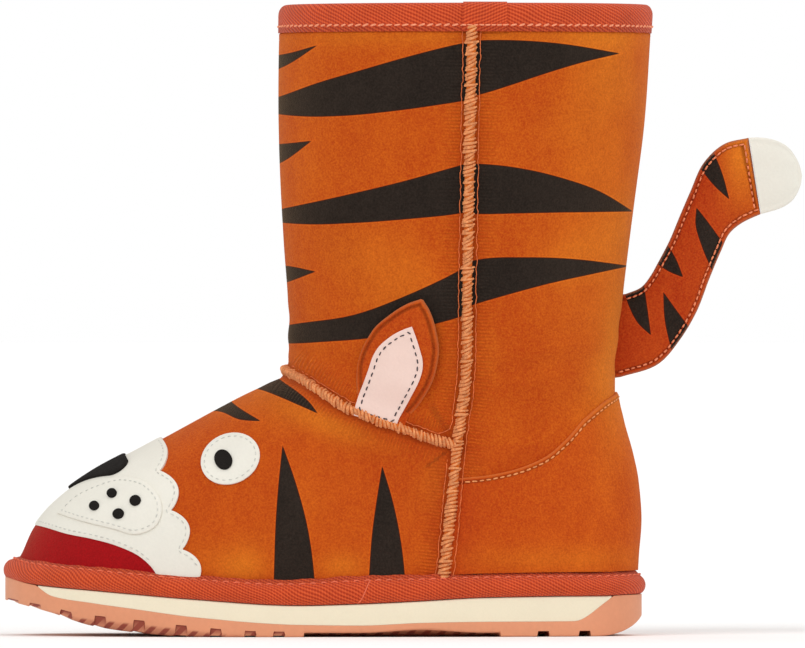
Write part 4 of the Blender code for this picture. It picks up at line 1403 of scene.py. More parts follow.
def make_upper():
    lip = [(EDGE_LEVEL + level, out) for level, out in LIP]
    ledge = COLLAR_TOP - COLLAR_TAPE_DEPTH - GAP
    bare = np.arange(lip[-1][0] + UPPER_STEP, ledge, UPPER_STEP)
    rim = COLLAR_TOP - COLLAR_TUCK
    tucked = [(ledge + 0.0008, -0.0009), (rim, -0.0009)]
    down = [np.linspace(*span) for span in ((rim, 0.105, 6), (0.1, 0.06, 22), (0.056, 0.0131, 9))]
    inside = [(level, -SUEDE) for level in np.concatenate(down)]
    profile = np.array(lip + [(level, 0.0) for level in bare] + tucked + inside)
    turns = np.arange(UPPER_TURNS) / UPPER_TURNS
    level, turn = np.meshgrid(profile[:, 0], turns, indexing="ij")
    base = foot_surface(turn, level)
    y, z = base[..., 1] / MM, base[..., 2] / MM
    side_gap, side_along = line_distance(even(side_seam_line(), 6.0), y, z)
    vamp_gap, vamp_along = line_distance(even(vamp_seam_line(), 2.5), y, z)
    lumps = lumps_at(base, 38)
    shape = 0.22 * lumps - soft_spots(CREASES, y, z, ridges=1.4)
    for gap in (side_gap, vamp_gap):
        for depth, distance, half_width in SEAM_WAVES:
            shape -= depth * np.exp(-(((gap - distance) / half_width) ** 2))
    is_bare = np.zeros(len(profile), bool)
    is_bare[len(lip) : len(lip) + len(bare)] = True
    fade = np.clip(np.minimum(level - bare[0], bare[-1] - level) / 0.006, 0, 1)
    out = profile[:, 1][:, None] + np.where(is_bare[:, None], shape * fade * MM, 0.0)
    points = off_surface(turn, level, out)
    points[..., 2] = np.maximum(points[..., 2], sole_line("top", points[..., 1]) + GAP)
    mesh = ring_mesh("suede_upper", points)
    on_foot = level < vamp_seam_level((turn + 0.5) % 1 - 0.5)
    dyes = [stripe_depths(stripes, base[..., 1], base[..., 2]) for stripes in (FOOT_STRIPES, SHAFT_STRIPES)]
    add_stripes(mesh, np.where(on_foot, *dyes))
    seam_gap = np.minimum(side_gap, vamp_gap)
    add_values(mesh, "seam_gap", seam_gap)
    add_values(mesh, "seam_along", np.where(side_gap < vamp_gap, side_along, vamp_along))
    # Painted shade: darker beside the seams, in a thin line just above the foot tape, and over the whole
    # foot, which takes more light from above
    near_tape = np.exp(-np.maximum(level - bare[0], 0) / 0.0010)
    painted_shade_and_tone = 0.3 * np.exp(-((seam_gap / 5.0) ** 2)) + 0.6 * near_tape + 0.22 * on_foot
    add_values(mesh, "painted_shade_and_tone", np.clip(painted_shade_and_tone, 0, 0.8))
    # Painted sheen in the listed spots, and a golden tone at random where the broad lumps rise, both kept off
    # the seams
    gold_and_sheen = soft_spots(PAINTED_SHEEN_SPOTS, y, z) + 0.5 * np.clip(lumps - 0.1, 0, 1)
    add_values(mesh, "gold_and_sheen", np.clip(gold_and_sheen * (1 - np.exp(-((seam_gap / 4.5) ** 2))), 0, 0.8))
    finish_piece(mesh, striped_suede(), "suede", ["upper"])


def seam_turn(level, side):
    """The side seam's turn at a level, from 0 at the toe towards that side."""
    line = side_seam_line()[::-1] * MM
    turn, at = place(line[:, 0], line[:, 1], side)
    return np.interp(level, at, np.abs(turn))


def counter_places(shares, down):
    """Turn and level along the counter's top edge, or that far below it, from seam to seam."""
    degrees = (counter_turn(np.full(shares.shape, 0.05), shares) - 0.5) * 360
    level = smooth(COUNTER_TOP, np.abs(degrees)) - down
    return counter_turn(level, shares), level


def counter_turn(level, shares):
    outer, inner = seam_turn(level, 1), 1 - seam_turn(level, -1)
    return outer + shares * (inner - outer)


def make_counter():
    shares = np.linspace(0, 1, 201)
    tops = counter_places(shares, 0.0)[1]
    rows = np.linspace(0, 1, 60)[:, None]
    level = COUNTER_FOOT + (tops - COUNTER_FOOT)[None] * rows
    turn = counter_turn(level, np.broadcast_to(shares, level.shape))
    from_edge = np.minimum((1 - rows) * (tops - COUNTER_FOOT)[None], 0.01)
    from_seam = np.minimum(shares, 1 - shares)[None] * 0.15
    groove = np.exp(-(((from_edge - COUNTER_STITCH) / 0.0007) ** 2))
    tuck = np.clip((from_seam - 0.0012) / 0.0024, 0.0, 1.0)
    rounding = 0.5 + 0.5 * rounded(from_edge, CUT_ROUND)
    over = (GAP + COUNTER) * rounding * (0.2 + 0.8 * tuck) - 0.0002 * groove
    mesh = slab_mesh("heel_counter_suede", off_surface(turn, level, -0.0005), off_surface(turn, level, over))
    at = foot_surface(turn, level) / MM
    # Painted shade towards the side seams, over a redder tone all over the counter
    side_shade = np.broadcast_to(0.5 * np.exp(-((from_seam / 0.006) ** 2)), level.shape)
    # Painted sheen in the same spots as on the upper
    gold_and_sheen = np.clip(soft_spots(PAINTED_SHEEN_SPOTS, at[..., 1], at[..., 2]), 0, 0.8)
    for value, there in (("painted_shade_and_tone", 0.2 + side_shade), ("gold_and_sheen", gold_and_sheen), ("from_edge", from_edge / MM)):
        add_values(mesh, value, np.tile(there.ravel(), 2))
    plain = suede_material(
        "suede_plain", colours().suede_light, colours().suede_dark,
        edge=(colours().counter_edge, COUNTER_STITCH), tints=shade_and_sheen_tints(),
    )
    finish_piece(mesh, plain, "suede", ["heel_counter"], sharp=50)
    turn, level = counter_places(np.linspace(0.02, 0.98, 400), COUNTER_STITCH)
    line = np.column_stack([off_surface(turn, level, GAP + COUNTER - 0.0002), surface_normal(turn, level)])
    line = even(line, 0.0006)
    rows = [(line[:, :3], unit(line[:, 3:]), False)]
    pitch = sizes().fine_pitch * 1.15
    thread = thread_material("thread_counter", colours().counter_thread, 0.3)
    sew("counter_stitches", rows, pitch, pitch * 0.70, sizes().thread * 1.15, thread, "binding_tape")


def ribbon(points, thickness):
    """A closed profile of that thickness on the inner side of an open line of level, out points."""
    heading = unit(np.gradient(points, axis=0))
    inward = np.column_stack([heading[:, 1], -heading[:, 0]])
    return np.concatenate([points, (points + inward * thickness)[::-1]])


def collar_line(extra=0.0):
    """The collar tape's outer face: up the outside, over the rim and down the inside."""
    foot, shoulder = COLLAR_TOP - COLLAR_TAPE_DEPTH, COLLAR_TOP - 0.0034
    outside = TAPE_PROUD + extra
    inside = -WALL - extra
    middle, half = (outside + inside) / 2, (outside - inside) / 2
    rise = COLLAR_TOP - shoulder + extra
    over = [
        (shoulder + rise * math.sin(a), middle + half * math.cos(a)) for a in np.linspace(0.0, math.pi, 15)
    ]
    up = [(level, outside) for level in np.linspace(foot, shoulder, 10)[:-1]]
    down = [(level, inside) for level in np.linspace(shoulder, foot, 10)[1:]]
    return np.array(up + over + down)


def tape_rings(profile, fray, swell=0.0):
    """Rings of points of a tape round the boot, with an uneven first edge, taller where it swells."""
    turns = np.arange(TAPE_TURNS) / TAPE_TURNS
    level, turn = np.meshgrid(profile[:, 0], turns, indexing="ij")
    uneven = lumps_at(foot_surface(turns, level[0]), 190)
    first_edge = np.exp(-((np.linalg.norm(profile - profile[0], axis=1) / 0.0009) ** 2))
    level = level + fray * first_edge[:, None] * uneven
    beside_middle = (foot_surface(turn, level)[..., 1] - TAPE_SWELL_Y) / TAPE_SWELL_HALF_LENGTH
    height = np.clip((level - EDGE_LEVEL) / np.ptp(profile[:, 0]), 0, 1)
    return off_surface(turn, level + swell * np.exp(-(beside_middle**2)) * height, profile[:, 1][:, None])


def finish_tape(name, rings, node, heading):
    """A tape's mesh with its weave mapped along and across it."""
    mesh = ring_mesh(name, rings)
    middle = rings[len(rings) // 4]
    along = run_along(np.vstack([middle, middle[:1]]))
    across = run_along(np.vstack([rings[:, 0], rings[:1, 0]]))
    add_weave_map(mesh, heading * along, across)
    finish_piece(mesh, tape_material(), "binding_tape", [node], sharp=60)


def outer_turns(places, level):
    """Turns of the places y on the outer side, in millimetres, at that height."""
    return [float(place(np.array(y) * MM, np.array(level), 1)[0]) for y in places]


def make_tapes():
    finish_tape("collar_tape", tape_rings(ribbon(collar_line(), TAPE), 0.0001), "collar_binding", 1)
    foot = flowing(np.array(FOOT_TAPE), closed=True, steps=4)
    foot[:, 0] += EDGE_LEVEL - 0.0004
    rings = tape_rings(foot, 0.0004, TAPE_SWELL)
    finish_tape("foot_tape", rings, "foot_binding", -1)
    thread = thread_material("thread_tape", colours().tape_thread)
    outside, inside = (ring_row(COLLAR_STITCH, out - 0.0001) for out in (TAPE_PROUD, -WALL))
    rows = [outside, (inside[0], -inside[1], True)]
    pitch = sizes().collar_pitch
    pale = thread_material("thread_collar", colours().collar_thread)
    sew("collar_stitches", rows, pitch, pitch * 0.86, sizes().thread * 1.5, pale, "binding_tape", slant=0.22)
    upright = ring_row(EDGE_LEVEL + 0.0065, 0.0, lean=math.radians(40))[1]
    rows = [(rings[4] + 0.0001 * upright, upright, True)]
    pitch = sizes().tape_pitch
    sew("foot_tape_stitches", rows, pitch, pitch * 0.55, sizes().thread * 1.3, thread, "binding_tape")
    down = np.arange(4, 21)
    at = np.linspace(*outer_turns(TAPE_JOIN, 0.017), len(down)) * TAPE_TURNS
    low = at.astype(int)
    share = (at - low)[:, None]
    join = rings[down, low] * (1 - share) + rings[down, low + 1] * share
    row = (join, np.tile([1.0, 0.0, 0.0], (len(down), 1)), False)
    grow(
        "tape_join_thread", rows_mesh([row]), thread_line_tree(), "binding_tape", thread,
        Radius=sizes().thread, Waver=0.0004,
    )
    make_tape_end(pale)


def make_tape_end(thread):
    """The collar tape's turned-under end, where it laps over its own start on the outer side."""
    profile = ribbon(collar_line(extra=0.0004), TAPE * 0.6)
    turns = np.linspace(*outer_turns(TAPE_END, COLLAR_TOP - 0.004), 26)
    mesh = loft_mesh("collar_tape_end", [off_surface(t, profile[:, 0], profile[:, 1]) for t in turns])
    section, around = np.divmod(face_corners(mesh), len(profile))
    run = np.linspace(0, (TAPE_END[1] - TAPE_END[0]) * MM, len(turns))
    map_weave(mesh, -run[section], run_along(profile)[around])
    finish_piece(mesh, tape_material(), "binding_tape", sharp=50)
    inner = turns[1:-1]
    points = off_surface(inner, COLLAR_STITCH, TAPE_PROUD + 0.0005)
    row = (points, surface_normal(inner, COLLAR_STITCH), False)
    sew("tape_end_stitches", [row], 0.0017, 0.0014, sizes().thread * 1.2, thread, "binding_tape")


def make_seams():
    width, height = sizes().seam_width, sizes().seam_height
    rows = seam_rows()
    core = suede_material("suede_seam", colours().seam_core, colours().suede_light)
    shares = np.linspace(-1, 1, 13)
    offsets = np.concatenate([shares, [0.7, 0.0, -0.7]])
    rises = np.concatenate([1 - np.abs(shares) ** 2.6, [-0.5, -0.5, -0.5]])
    for name, (points, upright, _) in zip(("side_seam_lateral", "side_seam_medial", "vamp_seam"), rows):
        uneven = lumps_at(points, 160)[:, None]
        narrow = VAMP_SHARE if name == "vamp_seam" else 1.0
        wide = width * narrow * 0.29 * (0.94 + 0.06 * uneven)
        tall = height * (0.92 + 0.08 * uneven)
        across = sideways_of(points, upright)[:, None] * (wide * offsets)[..., None]
        sections = points[:, None] + across + upright[:, None] * (tall * rises)[..., None]
        finish_piece(loft_mesh(name, sections), core, "suede")
    thread = thread_material("thread_seam", colours().seam_thread, 0.40)
    for name, chosen, narrow in (("side_strands", rows[:2], 1.0), ("vamp_strands", rows[2:], VAMP_SHARE)):
        grow(
            name, rows_mesh(chosen), overlock_tree(), "binding_tape", thread,
            Pitch=sizes().strand_pitch, Width=width * narrow * 0.61, Height=height * 1.08,
            Radius=sizes().strand,
        )
    grow(
        "seam_edge_threads", rows_mesh(edge_threads(rows, width * 0.51)), thread_line_tree(), "binding_tape",
        thread_material("thread_edge", colours().edge_thread, 0.45),
        Radius=sizes().thread * 0.65, Waver=0.0012,
    )


def edge_threads(rows, distance):
    """Threads along the seams' edges, turned round the corners where the vamp seam meets the side seams."""
    lateral, medial, vamp = rows
    corner = vamp[0][-1, 2]
    upper = np.hstack(beside(vamp, distance * VAMP_SHARE, THREAD_LIFT)[:2])
    upper = upper[CORNER_POINTS:-CORNER_POINTS][::-1]
    fronts = [
        np.hstack(beside(row, sign * distance, THREAD_LIFT)[:2]) for row, sign in ((lateral, -1), (medial, 1))
    ]
    above = [line[line[:, 2] > corner + CORNER_REACH] for line in fronts]
    below = [line[line[:, 2] < corner - CORNER_REACH] for line in fronts]
    paths = [np.vstack([above[0], upper, above[1][::-1]]), *below]
    for row, sign in ((lateral, 1), (medial, -1)):
        lift = np.where(row[0][:, 2] < COUNTER_TOP[-1][1], GAP + COUNTER, THREAD_LIFT)
        points, upright, _ = beside(row, sign * distance, 0.0)
        paths.append(np.hstack([points + upright * lift[:, None], upright]))
    threads = []
    for path in paths:
        path = even(path, 0.0005)
        for _ in range(12):
            path[1:-1] = (path[:-2] + 2 * path[1:-1] + path[2:]) / 4
        threads.append((path[:, :3], unit(path[:, 3:]), False))
    return threads


def ear_share(y, z):
    """How far up the ear a point lies, from 0 at its root to 1 at its tip."""
    axis = EAR_TIP - EAR_BASE
    return np.clip(((y - EAR_BASE[0]) * axis[0] + (z - EAR_BASE[1]) * axis[1]) / (axis @ axis), 0, 1)


def ear_layers(y, z):
    """Where the ear's back lies off the shaft, and its thickness, thin where it is sewn into the seam."""
    share = ear_share(y, z)
    ease = np.clip(share / 0.3, 0, 1)
    ease = ease * ease * (3 - 2 * ease)
    return EAR_ROOT_GAP * ease + EAR_LIFT * share**2, EAR_THICKNESS * (0.10 + 0.90 * ease)


def rounded(from_edge, radius):
    """How full a cut edge is, from 0 at the edge to 1 a radius in from it."""
    return 1 - np.clip(1 - from_edge / radius, 0, 1) ** 2


def side_patch(name, outline, lift, step, material, slot):
    """A thin patch of that outline in millimetres, laid on lift(y, z, out)."""
    low, high = outline.min(0) * MM - 2 * step, outline.max(0) * MM + 2 * step
    y, z = np.meshgrid(*(np.arange(*ends, step) for ends in zip(low, high)), indexing="ij")
    depth = inside_distance(outline * MM, y, z)
    finish_piece(cut_patch(name, lift, y, z, depth, sizes().patch * THIN_PATCH), material, slot, sharp=45)


def make_ears():
    axis = EAR_TIP - EAR_BASE
    across = np.array([axis[1], -axis[0]]) / np.linalg.norm(axis)
    share, side_share = np.meshgrid(np.linspace(-0.09, 1, 84), np.linspace(-1, 1, 52), indexing="ij")
    half = smooth(EAR_HALF_WIDTHS, share)
    y, z = (EAR_BASE[i] + share * axis[i] + side_share * half * across[i] for i in (0, 1))
    edges = ((y[:, 0], z[:, 0]), (y[::-1, -1], z[::-1, -1]))
    outline = np.concatenate([np.column_stack(edge) for edge in edges])
    from_edge = np.where(share < 0.03, 0.004, np.abs(inside_distance(outline, y, z)))
    crease = np.exp(-(((from_edge - EAR_CREASE) / 0.0004) ** 2))
    profile = 0.5 + 0.5 * rounded(from_edge, CUT_ROUND) - 0.2 * crease
    light = np.mean([colours().suede_light, colours().tail_light], axis=0)
    dark = np.mean([colours().suede_dark, colours().tail_dark], axis=0)
    edged = suede_material("suede_ear", light, dark, edge=(colours().ear_edge, EAR_STITCH))
    pink = plain_material("ear_lining", colours().pink, 0.75, 0.035, 0.00015, grain_scale=1400.0)
    lining = flowing(EAR_PATCH, closed=True)
    dash_y, dash_z = inset(lining, 1.6).T * MM
    rows = []
    for name, side in (("lateral", 1), ("medial", -1)):
        turn, level = place(y, z, side)
        back, thickness = ear_layers(y, z)
        under, over = (off_surface(turn, level, out) for out in (back, back + thickness * profile))
        mesh = slab_mesh("ear_leaf_" + name, under, over)
        add_values(mesh, "from_edge", np.tile(from_edge.ravel() / MM, 2))
        finish_piece(mesh, edged, "suede", ["ear_" + name], sharp=60)

        def lift(at_y, at_z, out, side=side):
            turn, level = place(at_y, at_z, side)
            back, thickness = ear_layers(at_y, at_z)
            facing = np.abs(surface_normal(turn, level)[..., 0])
            points = foot_surface(turn, level)
            points[..., 0] += side * (back + thickness + out) / facing
            return points

        side_patch("ear_lining_" + name, lining, lift, 0.0005, pink, "tip_leather")
        line = lift(dash_y, dash_z, sizes().patch * THIN_PATCH)
        rows.append((line, surface_normal(*place(dash_y, dash_z, side)), True))
    pitch = sizes().dark_pitch
    thread = thread_material("thread_dark", colours().dark_thread)
    sew("ear_stitches", rows, pitch, pitch * 0.62, sizes().thread, thread, "tip_leather")


def pad_thickness(from_edge, sewn):
    """Half the tail's thickness: a sewn flange round the edge, then a soft crown."""
    rounding = 0.45 + 0.55 * np.sqrt(rounded(from_edge, 0.0007))
    crown = 1 - np.exp(-(np.maximum(from_edge - TAIL_STITCH, 0) / 0.0032))
    groove = np.exp(-(((from_edge - TAIL_STITCH) / 0.0005) ** 2)) if sewn else 0.0
    return 0.00135 * rounding + 0.00125 * crown - 0.00028 * groove


def pad_sections(lower, upper, from_end, sewn, across=34):
    """Closed sections between two edges, and each point's distance from the sewn edge."""
    shares = (1 - np.cos(np.linspace(0, math.pi, across))) / 2
    width = np.linalg.norm(upper - lower, axis=1)[:, None]
    from_edge = np.minimum(np.minimum(shares, 1 - shares) * width, from_end[:, None])
    half = pad_thickness(from_edge, sewn)
    flat = lower[:, None] + shares[None, :, None] * (upper - lower)[:, None]
    face = np.concatenate([half[..., None], flat], axis=-1)
    back = np.concatenate([-half[..., None], flat], axis=-1)[:, ::-1]
    return np.concatenate([face, back], axis=1), np.concatenate([from_edge, from_edge[:, ::-1]], axis=1)


def spread(points):
    """The tail's points a little further out from the boot's middle."""
    middle = np.array([0.0, 0.0, TAIL_MIDDLE])
    return middle + (points - middle) * np.array([1.0, TAIL_SPREAD, TAIL_SPREAD])


def make_tail():
    upper, lower = (flowing(np.array(TAIL)[:, i : i + 2], steps=18) for i in (0, 2))
    for edge in (lower, upper):
        edge[0, 0] = float(smooth(BACK, edge[0, 1])) - TAIL_TUCK
    joint_gap = np.linalg.norm((lower + upper) / 2 - (lower[-1] + upper[-1]) / 2, axis=1)
    sections, from_edge = pad_sections(lower, upper, joint_gap, True)
    sections[0, :, 1] = smooth(BACK, sections[0, :, 2]) - TAIL_TUCK
    mesh = loft_mesh("tail_pad", spread(sections))
    _, y, z = sections.reshape(-1, 3).T
    add_stripes(mesh, stripe_depths(TAIL_STRIPES, y, z))
    add_values(mesh, "from_edge", from_edge / MM)
    # Lighter and yellower towards the tail's end
    add_values(mesh, "gold_and_sheen", 0.7 * np.clip((z - 0.1275) / 0.02, 0, 1) * np.clip((y - 0.0955) / 0.008, 0, 1))
    skin = suede_material(
        "suede_tail", colours().tail_light, colours().tail_dark, striped=True,
        edge=(colours().raw_edge, TAIL_STITCH), tints=shade_and_sheen_tints()[1:],
    )
    pad = finish_piece(mesh, skin, "suede", ["tail"], sharp=65)
    half = (upper[-1] - lower[-1]) / 2
    outward = np.array([half[1], -half[0]]) / np.linalg.norm(half)
    tip_upper, tip_lower = (
        flowing(np.vstack([edge[-1] + outward * TIP_JOINT_GAP, np.array(TIP)[:, i : i + 2]]), steps=7)
        for edge, i in ((upper, 0), (lower, 2))
    )
    middle = (tip_upper + tip_lower) / 2
    from_end = np.linalg.norm(middle[-1] - middle, axis=1) + 0.0002
    sections, _ = pad_sections(tip_lower, tip_upper, from_end, False)
    mesh = loft_mesh("tail_tip_pad", spread(sections))
    tip = finish_piece(mesh, white_leather(), "tip_leather", ["tail_tip"], sharp=65)
    rows = tail_rows(lower, upper, joint_gap, outward)
    pitch = sizes().fine_pitch
    thread = thread_material("thread_tail", colours().tail_thread, 0.25)
    sew("tail_stitches", rows, pitch, pitch * 0.66, sizes().thread * 1.3, thread, "suede")
    pierce("tail_needle_holes", rows, pitch, "suede")


def muzzle_edge():
    """The muzzle's back edge: a row of rounded lobes from the ridge of the foot down to the tape."""
    shares = np.linspace(0, 1, 161)
    run = MUZZLE_FOOT - MUZZLE_TOP
    backward = np.array([-run[1], run[0]]) / np.linalg.norm(run)
    swell = np.abs(np.sin(math.pi * MUZZLE_LOBES * shares)) ** 0.75 * MUZZLE_LOBE_DEPTH
    return MUZZLE_TOP + shares[:, None] * run + swell[:, None] * backward


def ellipse(centre, radii, tilt, count=72):
    angle = np.linspace(0, 2 * math.pi, count, endpoint=False)
    along, across = radii[0] * np.cos(angle), radii[1] * np.sin(angle)
    cosine, sine = math.cos(math.radians(tilt)), math.sin(math.radians(tilt))
    return np.column_stack([
        centre[0] + along * cosine - across * sine, centre[1] + along * sine + across * cosine,
    ])


def tail_rows(lower, upper, joint_gap, outward):
    """Rows along both edges of the tail and across its end, on both of its faces."""
    rows = []

    def add_row(side, out, line):
        points = np.column_stack([np.full(len(line), side * out), line])
        rows.append((spread(points), np.tile([float(side), 0.0, 0.0], (len(line), 1)), False))

    for side in (1, -1):
        for near, far in ((lower, upper), (upper, lower)):
            line = near + unit(far - near) * TAIL_STITCH
            line = line[(joint_gap > 0.0016) & (line[:, 0] > smooth(BACK, line[:, 1]) + 0.0012)]
            add_row(side, 0.00140, even(line, 0.0004))
        seam = lower[-1] + (upper[-1] - lower[-1]) * np.linspace(0.12, 0.88, 20)[:, None]
        add_row(side, 0.00150, seam - outward * 0.0016)
    return rows


def toe_grid(reach, low, high, columns, rows):
    """Turns, levels and points of a grid on the toe."""
    levels, turns = np.linspace(low, high, rows), np.linspace(-reach, reach, columns)
    level, turn = np.meshgrid(levels, turns, indexing="ij")
    return turn, level, foot_surface(turn, level)


def make_muzzle(thickness):
    turn, level, at = toe_grid(0.235, 0.0150, 0.0625, 230, 96)
    y, z = at[..., 1] / MM, at[..., 2] / MM
    edge = muzzle_edge()
    outline = np.vstack([edge, [(-65, 0), (-140, 0), (-140, 70)]])
    mouth = flowing(MOUTH, closed=True)
    depth = np.minimum(inside_distance(outline, y, z), -inside_distance(mouth, y, z)) * MM
    white = cut_patch("muzzle_leather", off_surface, turn, level, depth, thickness)
    finish_piece(white, white_leather(), "tip_leather", sharp=45)
    turn, level, at = toe_grid(0.19, 0.0150, 0.0420, 170, 46)
    depth = (inside_distance(mouth, at[..., 1] / MM, at[..., 2] / MM) + 2.2) * MM
    red = cut_patch("toe_panel", off_surface, turn, level, depth, thickness * 0.5)
    light, dark = shades(colours().red, 0.12)[1], shades(colours().red, 0.22)[0]
    finish_piece(red, suede_material("suede_red", light, dark), "suede", sharp=45)
    heading = unit(np.gradient(edge, axis=0))
    inward = 1.15 * np.column_stack([-heading[:, 1], heading[:, 0]])
    if np.mean(inside_distance(outline, *(edge + inward).T)) < 0:
        inward = -inward
    inner = edge + inward
    inner = inner[inside_distance(outline, *inner.T) > 1.0]
    levels, fronts = zip(*FRONT)
    ridge = np.interp(inner[:, 0] * MM, fronts[:18], levels[:18]) / MM
    inner = inner[(inner[:, 1] < ridge - 1.0) & (inner[:, 1] > 22.5)]
    upper_lip = mouth[(mouth[:, 0] > -119) & (mouth[:, 1] > 22.5)] + np.array([0.35, 1.15])
    front = np.interp(upper_lip[:, 1] * MM, levels, fronts) / MM
    upper_lip = upper_lip[upper_lip[:, 0] > front + 0.6]
    return [side_row(line, side, thickness) for side in (1, -1) for line in (inner, upper_lip)]


def nose_depth(at):
    """Distance inside the nose's rounded triangle, measured across the toe and up its slope."""
    across = (at[..., 0] + toe_swing(at[..., 1])) / MM
    y, z = NOSE_CENTRE
    up = ((at[..., 1] - y) * math.cos(NOSE_SLOPE) + (at[..., 2] - z) * math.sin(NOSE_SLOPE)) / MM
    return (inside_distance(np.array(NOSE_CORNERS), across, up) + NOSE_ROUND) * MM


def make_face():
    """Generic patches on the toe: a lobed muzzle, a nose, whisker dots and two plain eyes."""
    thickness = sizes().patch
    rows = make_muzzle(thickness)
    felt = plain_material("black_felt", colours().black, 0.9, 0.3, 0.0004, specular=0.1, grain_scale=2200.0)
    turn, level, at = toe_grid(0.125, 0.0330, 0.0610, 170, 80)

    def raised(first, second, out):
        return off_surface(first, second, thickness + out)

    nose = cut_patch("nose_patch", raised, turn, level, nose_depth(at), thickness)
    finish_piece(nose, felt, "suede", sharp=45)
    along, across, radius = PUPIL
    eye = ellipse(EYE_CENTRE, EYE_RADII, EYE_TILT)
    pupil_centre = (EYE_CENTRE[0] + along, EYE_CENTRE[1] + across)
    pupil = ellipse(pupil_centre, (radius, radius * 1.12), EYE_TILT, 40)
    cheek = flowing(CHEEK, closed=True)
    patches = [  # name, outline, height off the surface as a share of the thickness, step, material, slot
        ("eye_leather", eye, 0.0, 0.0005, white_leather(), "tip_leather"),
        ("pupil", pupil, THIN_PATCH, 0.0004, felt, "suede"),
    ]
    for i, (y, z, radius) in enumerate(WHISKER_DOTS):
        dot = ellipse((y, z), (radius * 1.1, radius * 0.92), 25, 28)
        patches.append((f"whisker_dot_{i + 1}", dot, 1 + THIN_PATCH, 0.0003, felt, "suede"))
    patches.append(("cheek_leather", cheek, 1.0, 0.0006, white_leather(), "tip_leather"))
    eye_seam = ellipse(EYE_CENTRE, (EYE_RADII[0] - 1.2, EYE_RADII[1] - 1.2), EYE_TILT)
    for name, side in (("lateral", 1), ("medial", -1)):
        for label, outline, share, step, material, slot in patches:

            def lift(y, z, out, side=side, base=thickness * share):
                return off_surface(*place(y, z, side), base + out)

            side_patch(label + "_" + name, outline, lift, step, material, slot)
        rows.append(closed_row(inset(cheek, 1.15), side, thickness * (1 + THIN_PATCH)))
        rows.append(closed_row(eye_seam, side, thickness * THIN_PATCH))
    thread = thread_material("thread_pale", colours().grey_thread)
    sew("patch_stitches", rows, 0.0021, 0.0013, sizes().thread * 0.8, thread, "tip_leather")


def edge_x(y, side, grow_by):
    """Where the sole's outline, grown by that much, crosses y on one side."""
    name = "lateral" if side > 0 else "medial"
    half = float(girth(name, EDGE_LEVEL)) + grow_by
    widest = float(girth(name + "_y", EDGE_LEVEL))
    ahead = y < widest
    power = float(girth("toe_power" if ahead else "heel_power", EDGE_LEVEL))
    end = sole_end("toe" if ahead else "heel", grow_by)
    share = min(1.0, abs(y - widest) / abs(end - widest))
    reach = half * (1 - share**power) ** (1 / power)
    hollow = 0.0 if side > 0 else float(arch_hollow(y, EDGE_LEVEL)) * reach / half
    return side * (reach - hollow) - float(toe_swing(y))


def sole_end(which, grow_by):
    if which == "toe":
        return float(smooth(FRONT, SOLE_TOP_AT_TOE)) - grow_by
    return float(smooth(BACK, SOLE_TOP_AT_HEEL)) + grow_by


def stations(toe, heel, count):
    """Places along the foot, closest together near the round ends."""
    angles = np.radians(np.linspace(1.6, 178.4, count))
    return (toe + heel) / 2 - (heel - toe) / 2 * np.cos(angles)


def quarter(corner_x, corner_z, radius_x, radius_z, start):
    """Points of a rounded corner, by the angle at which it starts, a quarter turn round its centre."""
    angles = np.radians(start + np.linspace(0, 90, 5))
    return [(corner_x + radius_x * math.cos(a), corner_z + radius_z * math.sin(a)) for a in angles]


def plate_section(y, low, high, grow_by, soft_low, soft_high, middle_points=9, reach_low=0.0):
    """A closed section of a plate with rounded edges, the lower ones at least reach_low wide."""
    left, right = edge_x(y, -1, grow_by), edge_x(y, 1, grow_by)
    reach = (right - left) / 2
    high_soft, low_soft = min(soft_high, (high - low) / 2.2), min(soft_low, (high - low) / 2.2)
    high_x, low_x = min(high_soft, reach * 0.6), min(max(low_soft, reach_low), reach * 0.6)
    outline = quarter(right - high_x, high - high_soft, high_x, high_soft, 0)
    outline += [(x, high) for x in np.linspace(right - high_x, left + high_x, middle_points)[1:-1]]
    outline += quarter(left + high_x, high - high_soft, high_x, high_soft, 90)
    outline += quarter(left + low_x, low + low_soft, low_x, low_soft, 180)
    outline += [(x, low) for x in np.linspace(left + low_x, right - low_x, middle_points)[1:-1]]
    outline += quarter(right - low_x, low + low_soft, low_x, low_soft, 270)
    return np.array([(x, y, z) for x, z in outline])


def groove_corners(start, end):
    """Places and shares of its full depth at the four corners of a groove."""
    return [(start, 0.0), (start + GROOVE_DRAFT, 1.0), (end - GROOVE_DRAFT, 1.0), (end, 0.0)]


def groove_shares(y):
    """How much of its full depth each tread groove, and the raised waist, has at y."""
    grooves, half = [], GROOVE_WIDTH / 2
    for centre in GROOVE_CENTRES:
        grooves += groove_corners(centre - half, centre + half)
    waist = groove_corners(*WAIST)
    corners = [at for at, _ in grooves + waist]
    return corners, np.interp(y, *zip(*grooves)), np.interp(y, *zip(*waist))


def tread_height(y):
    """The tread's height above the floor, with the heel's back corner rounded off."""
    start, end = HEEL_CORNER
    share = np.clip((np.asarray(y, float) - start) / (end - start), 0.0, 1.0)
    return np.where(share > 0, HEEL_CORNER_RISE * (1 - np.sqrt(1 - share**2)), sole_line("bottom", y))


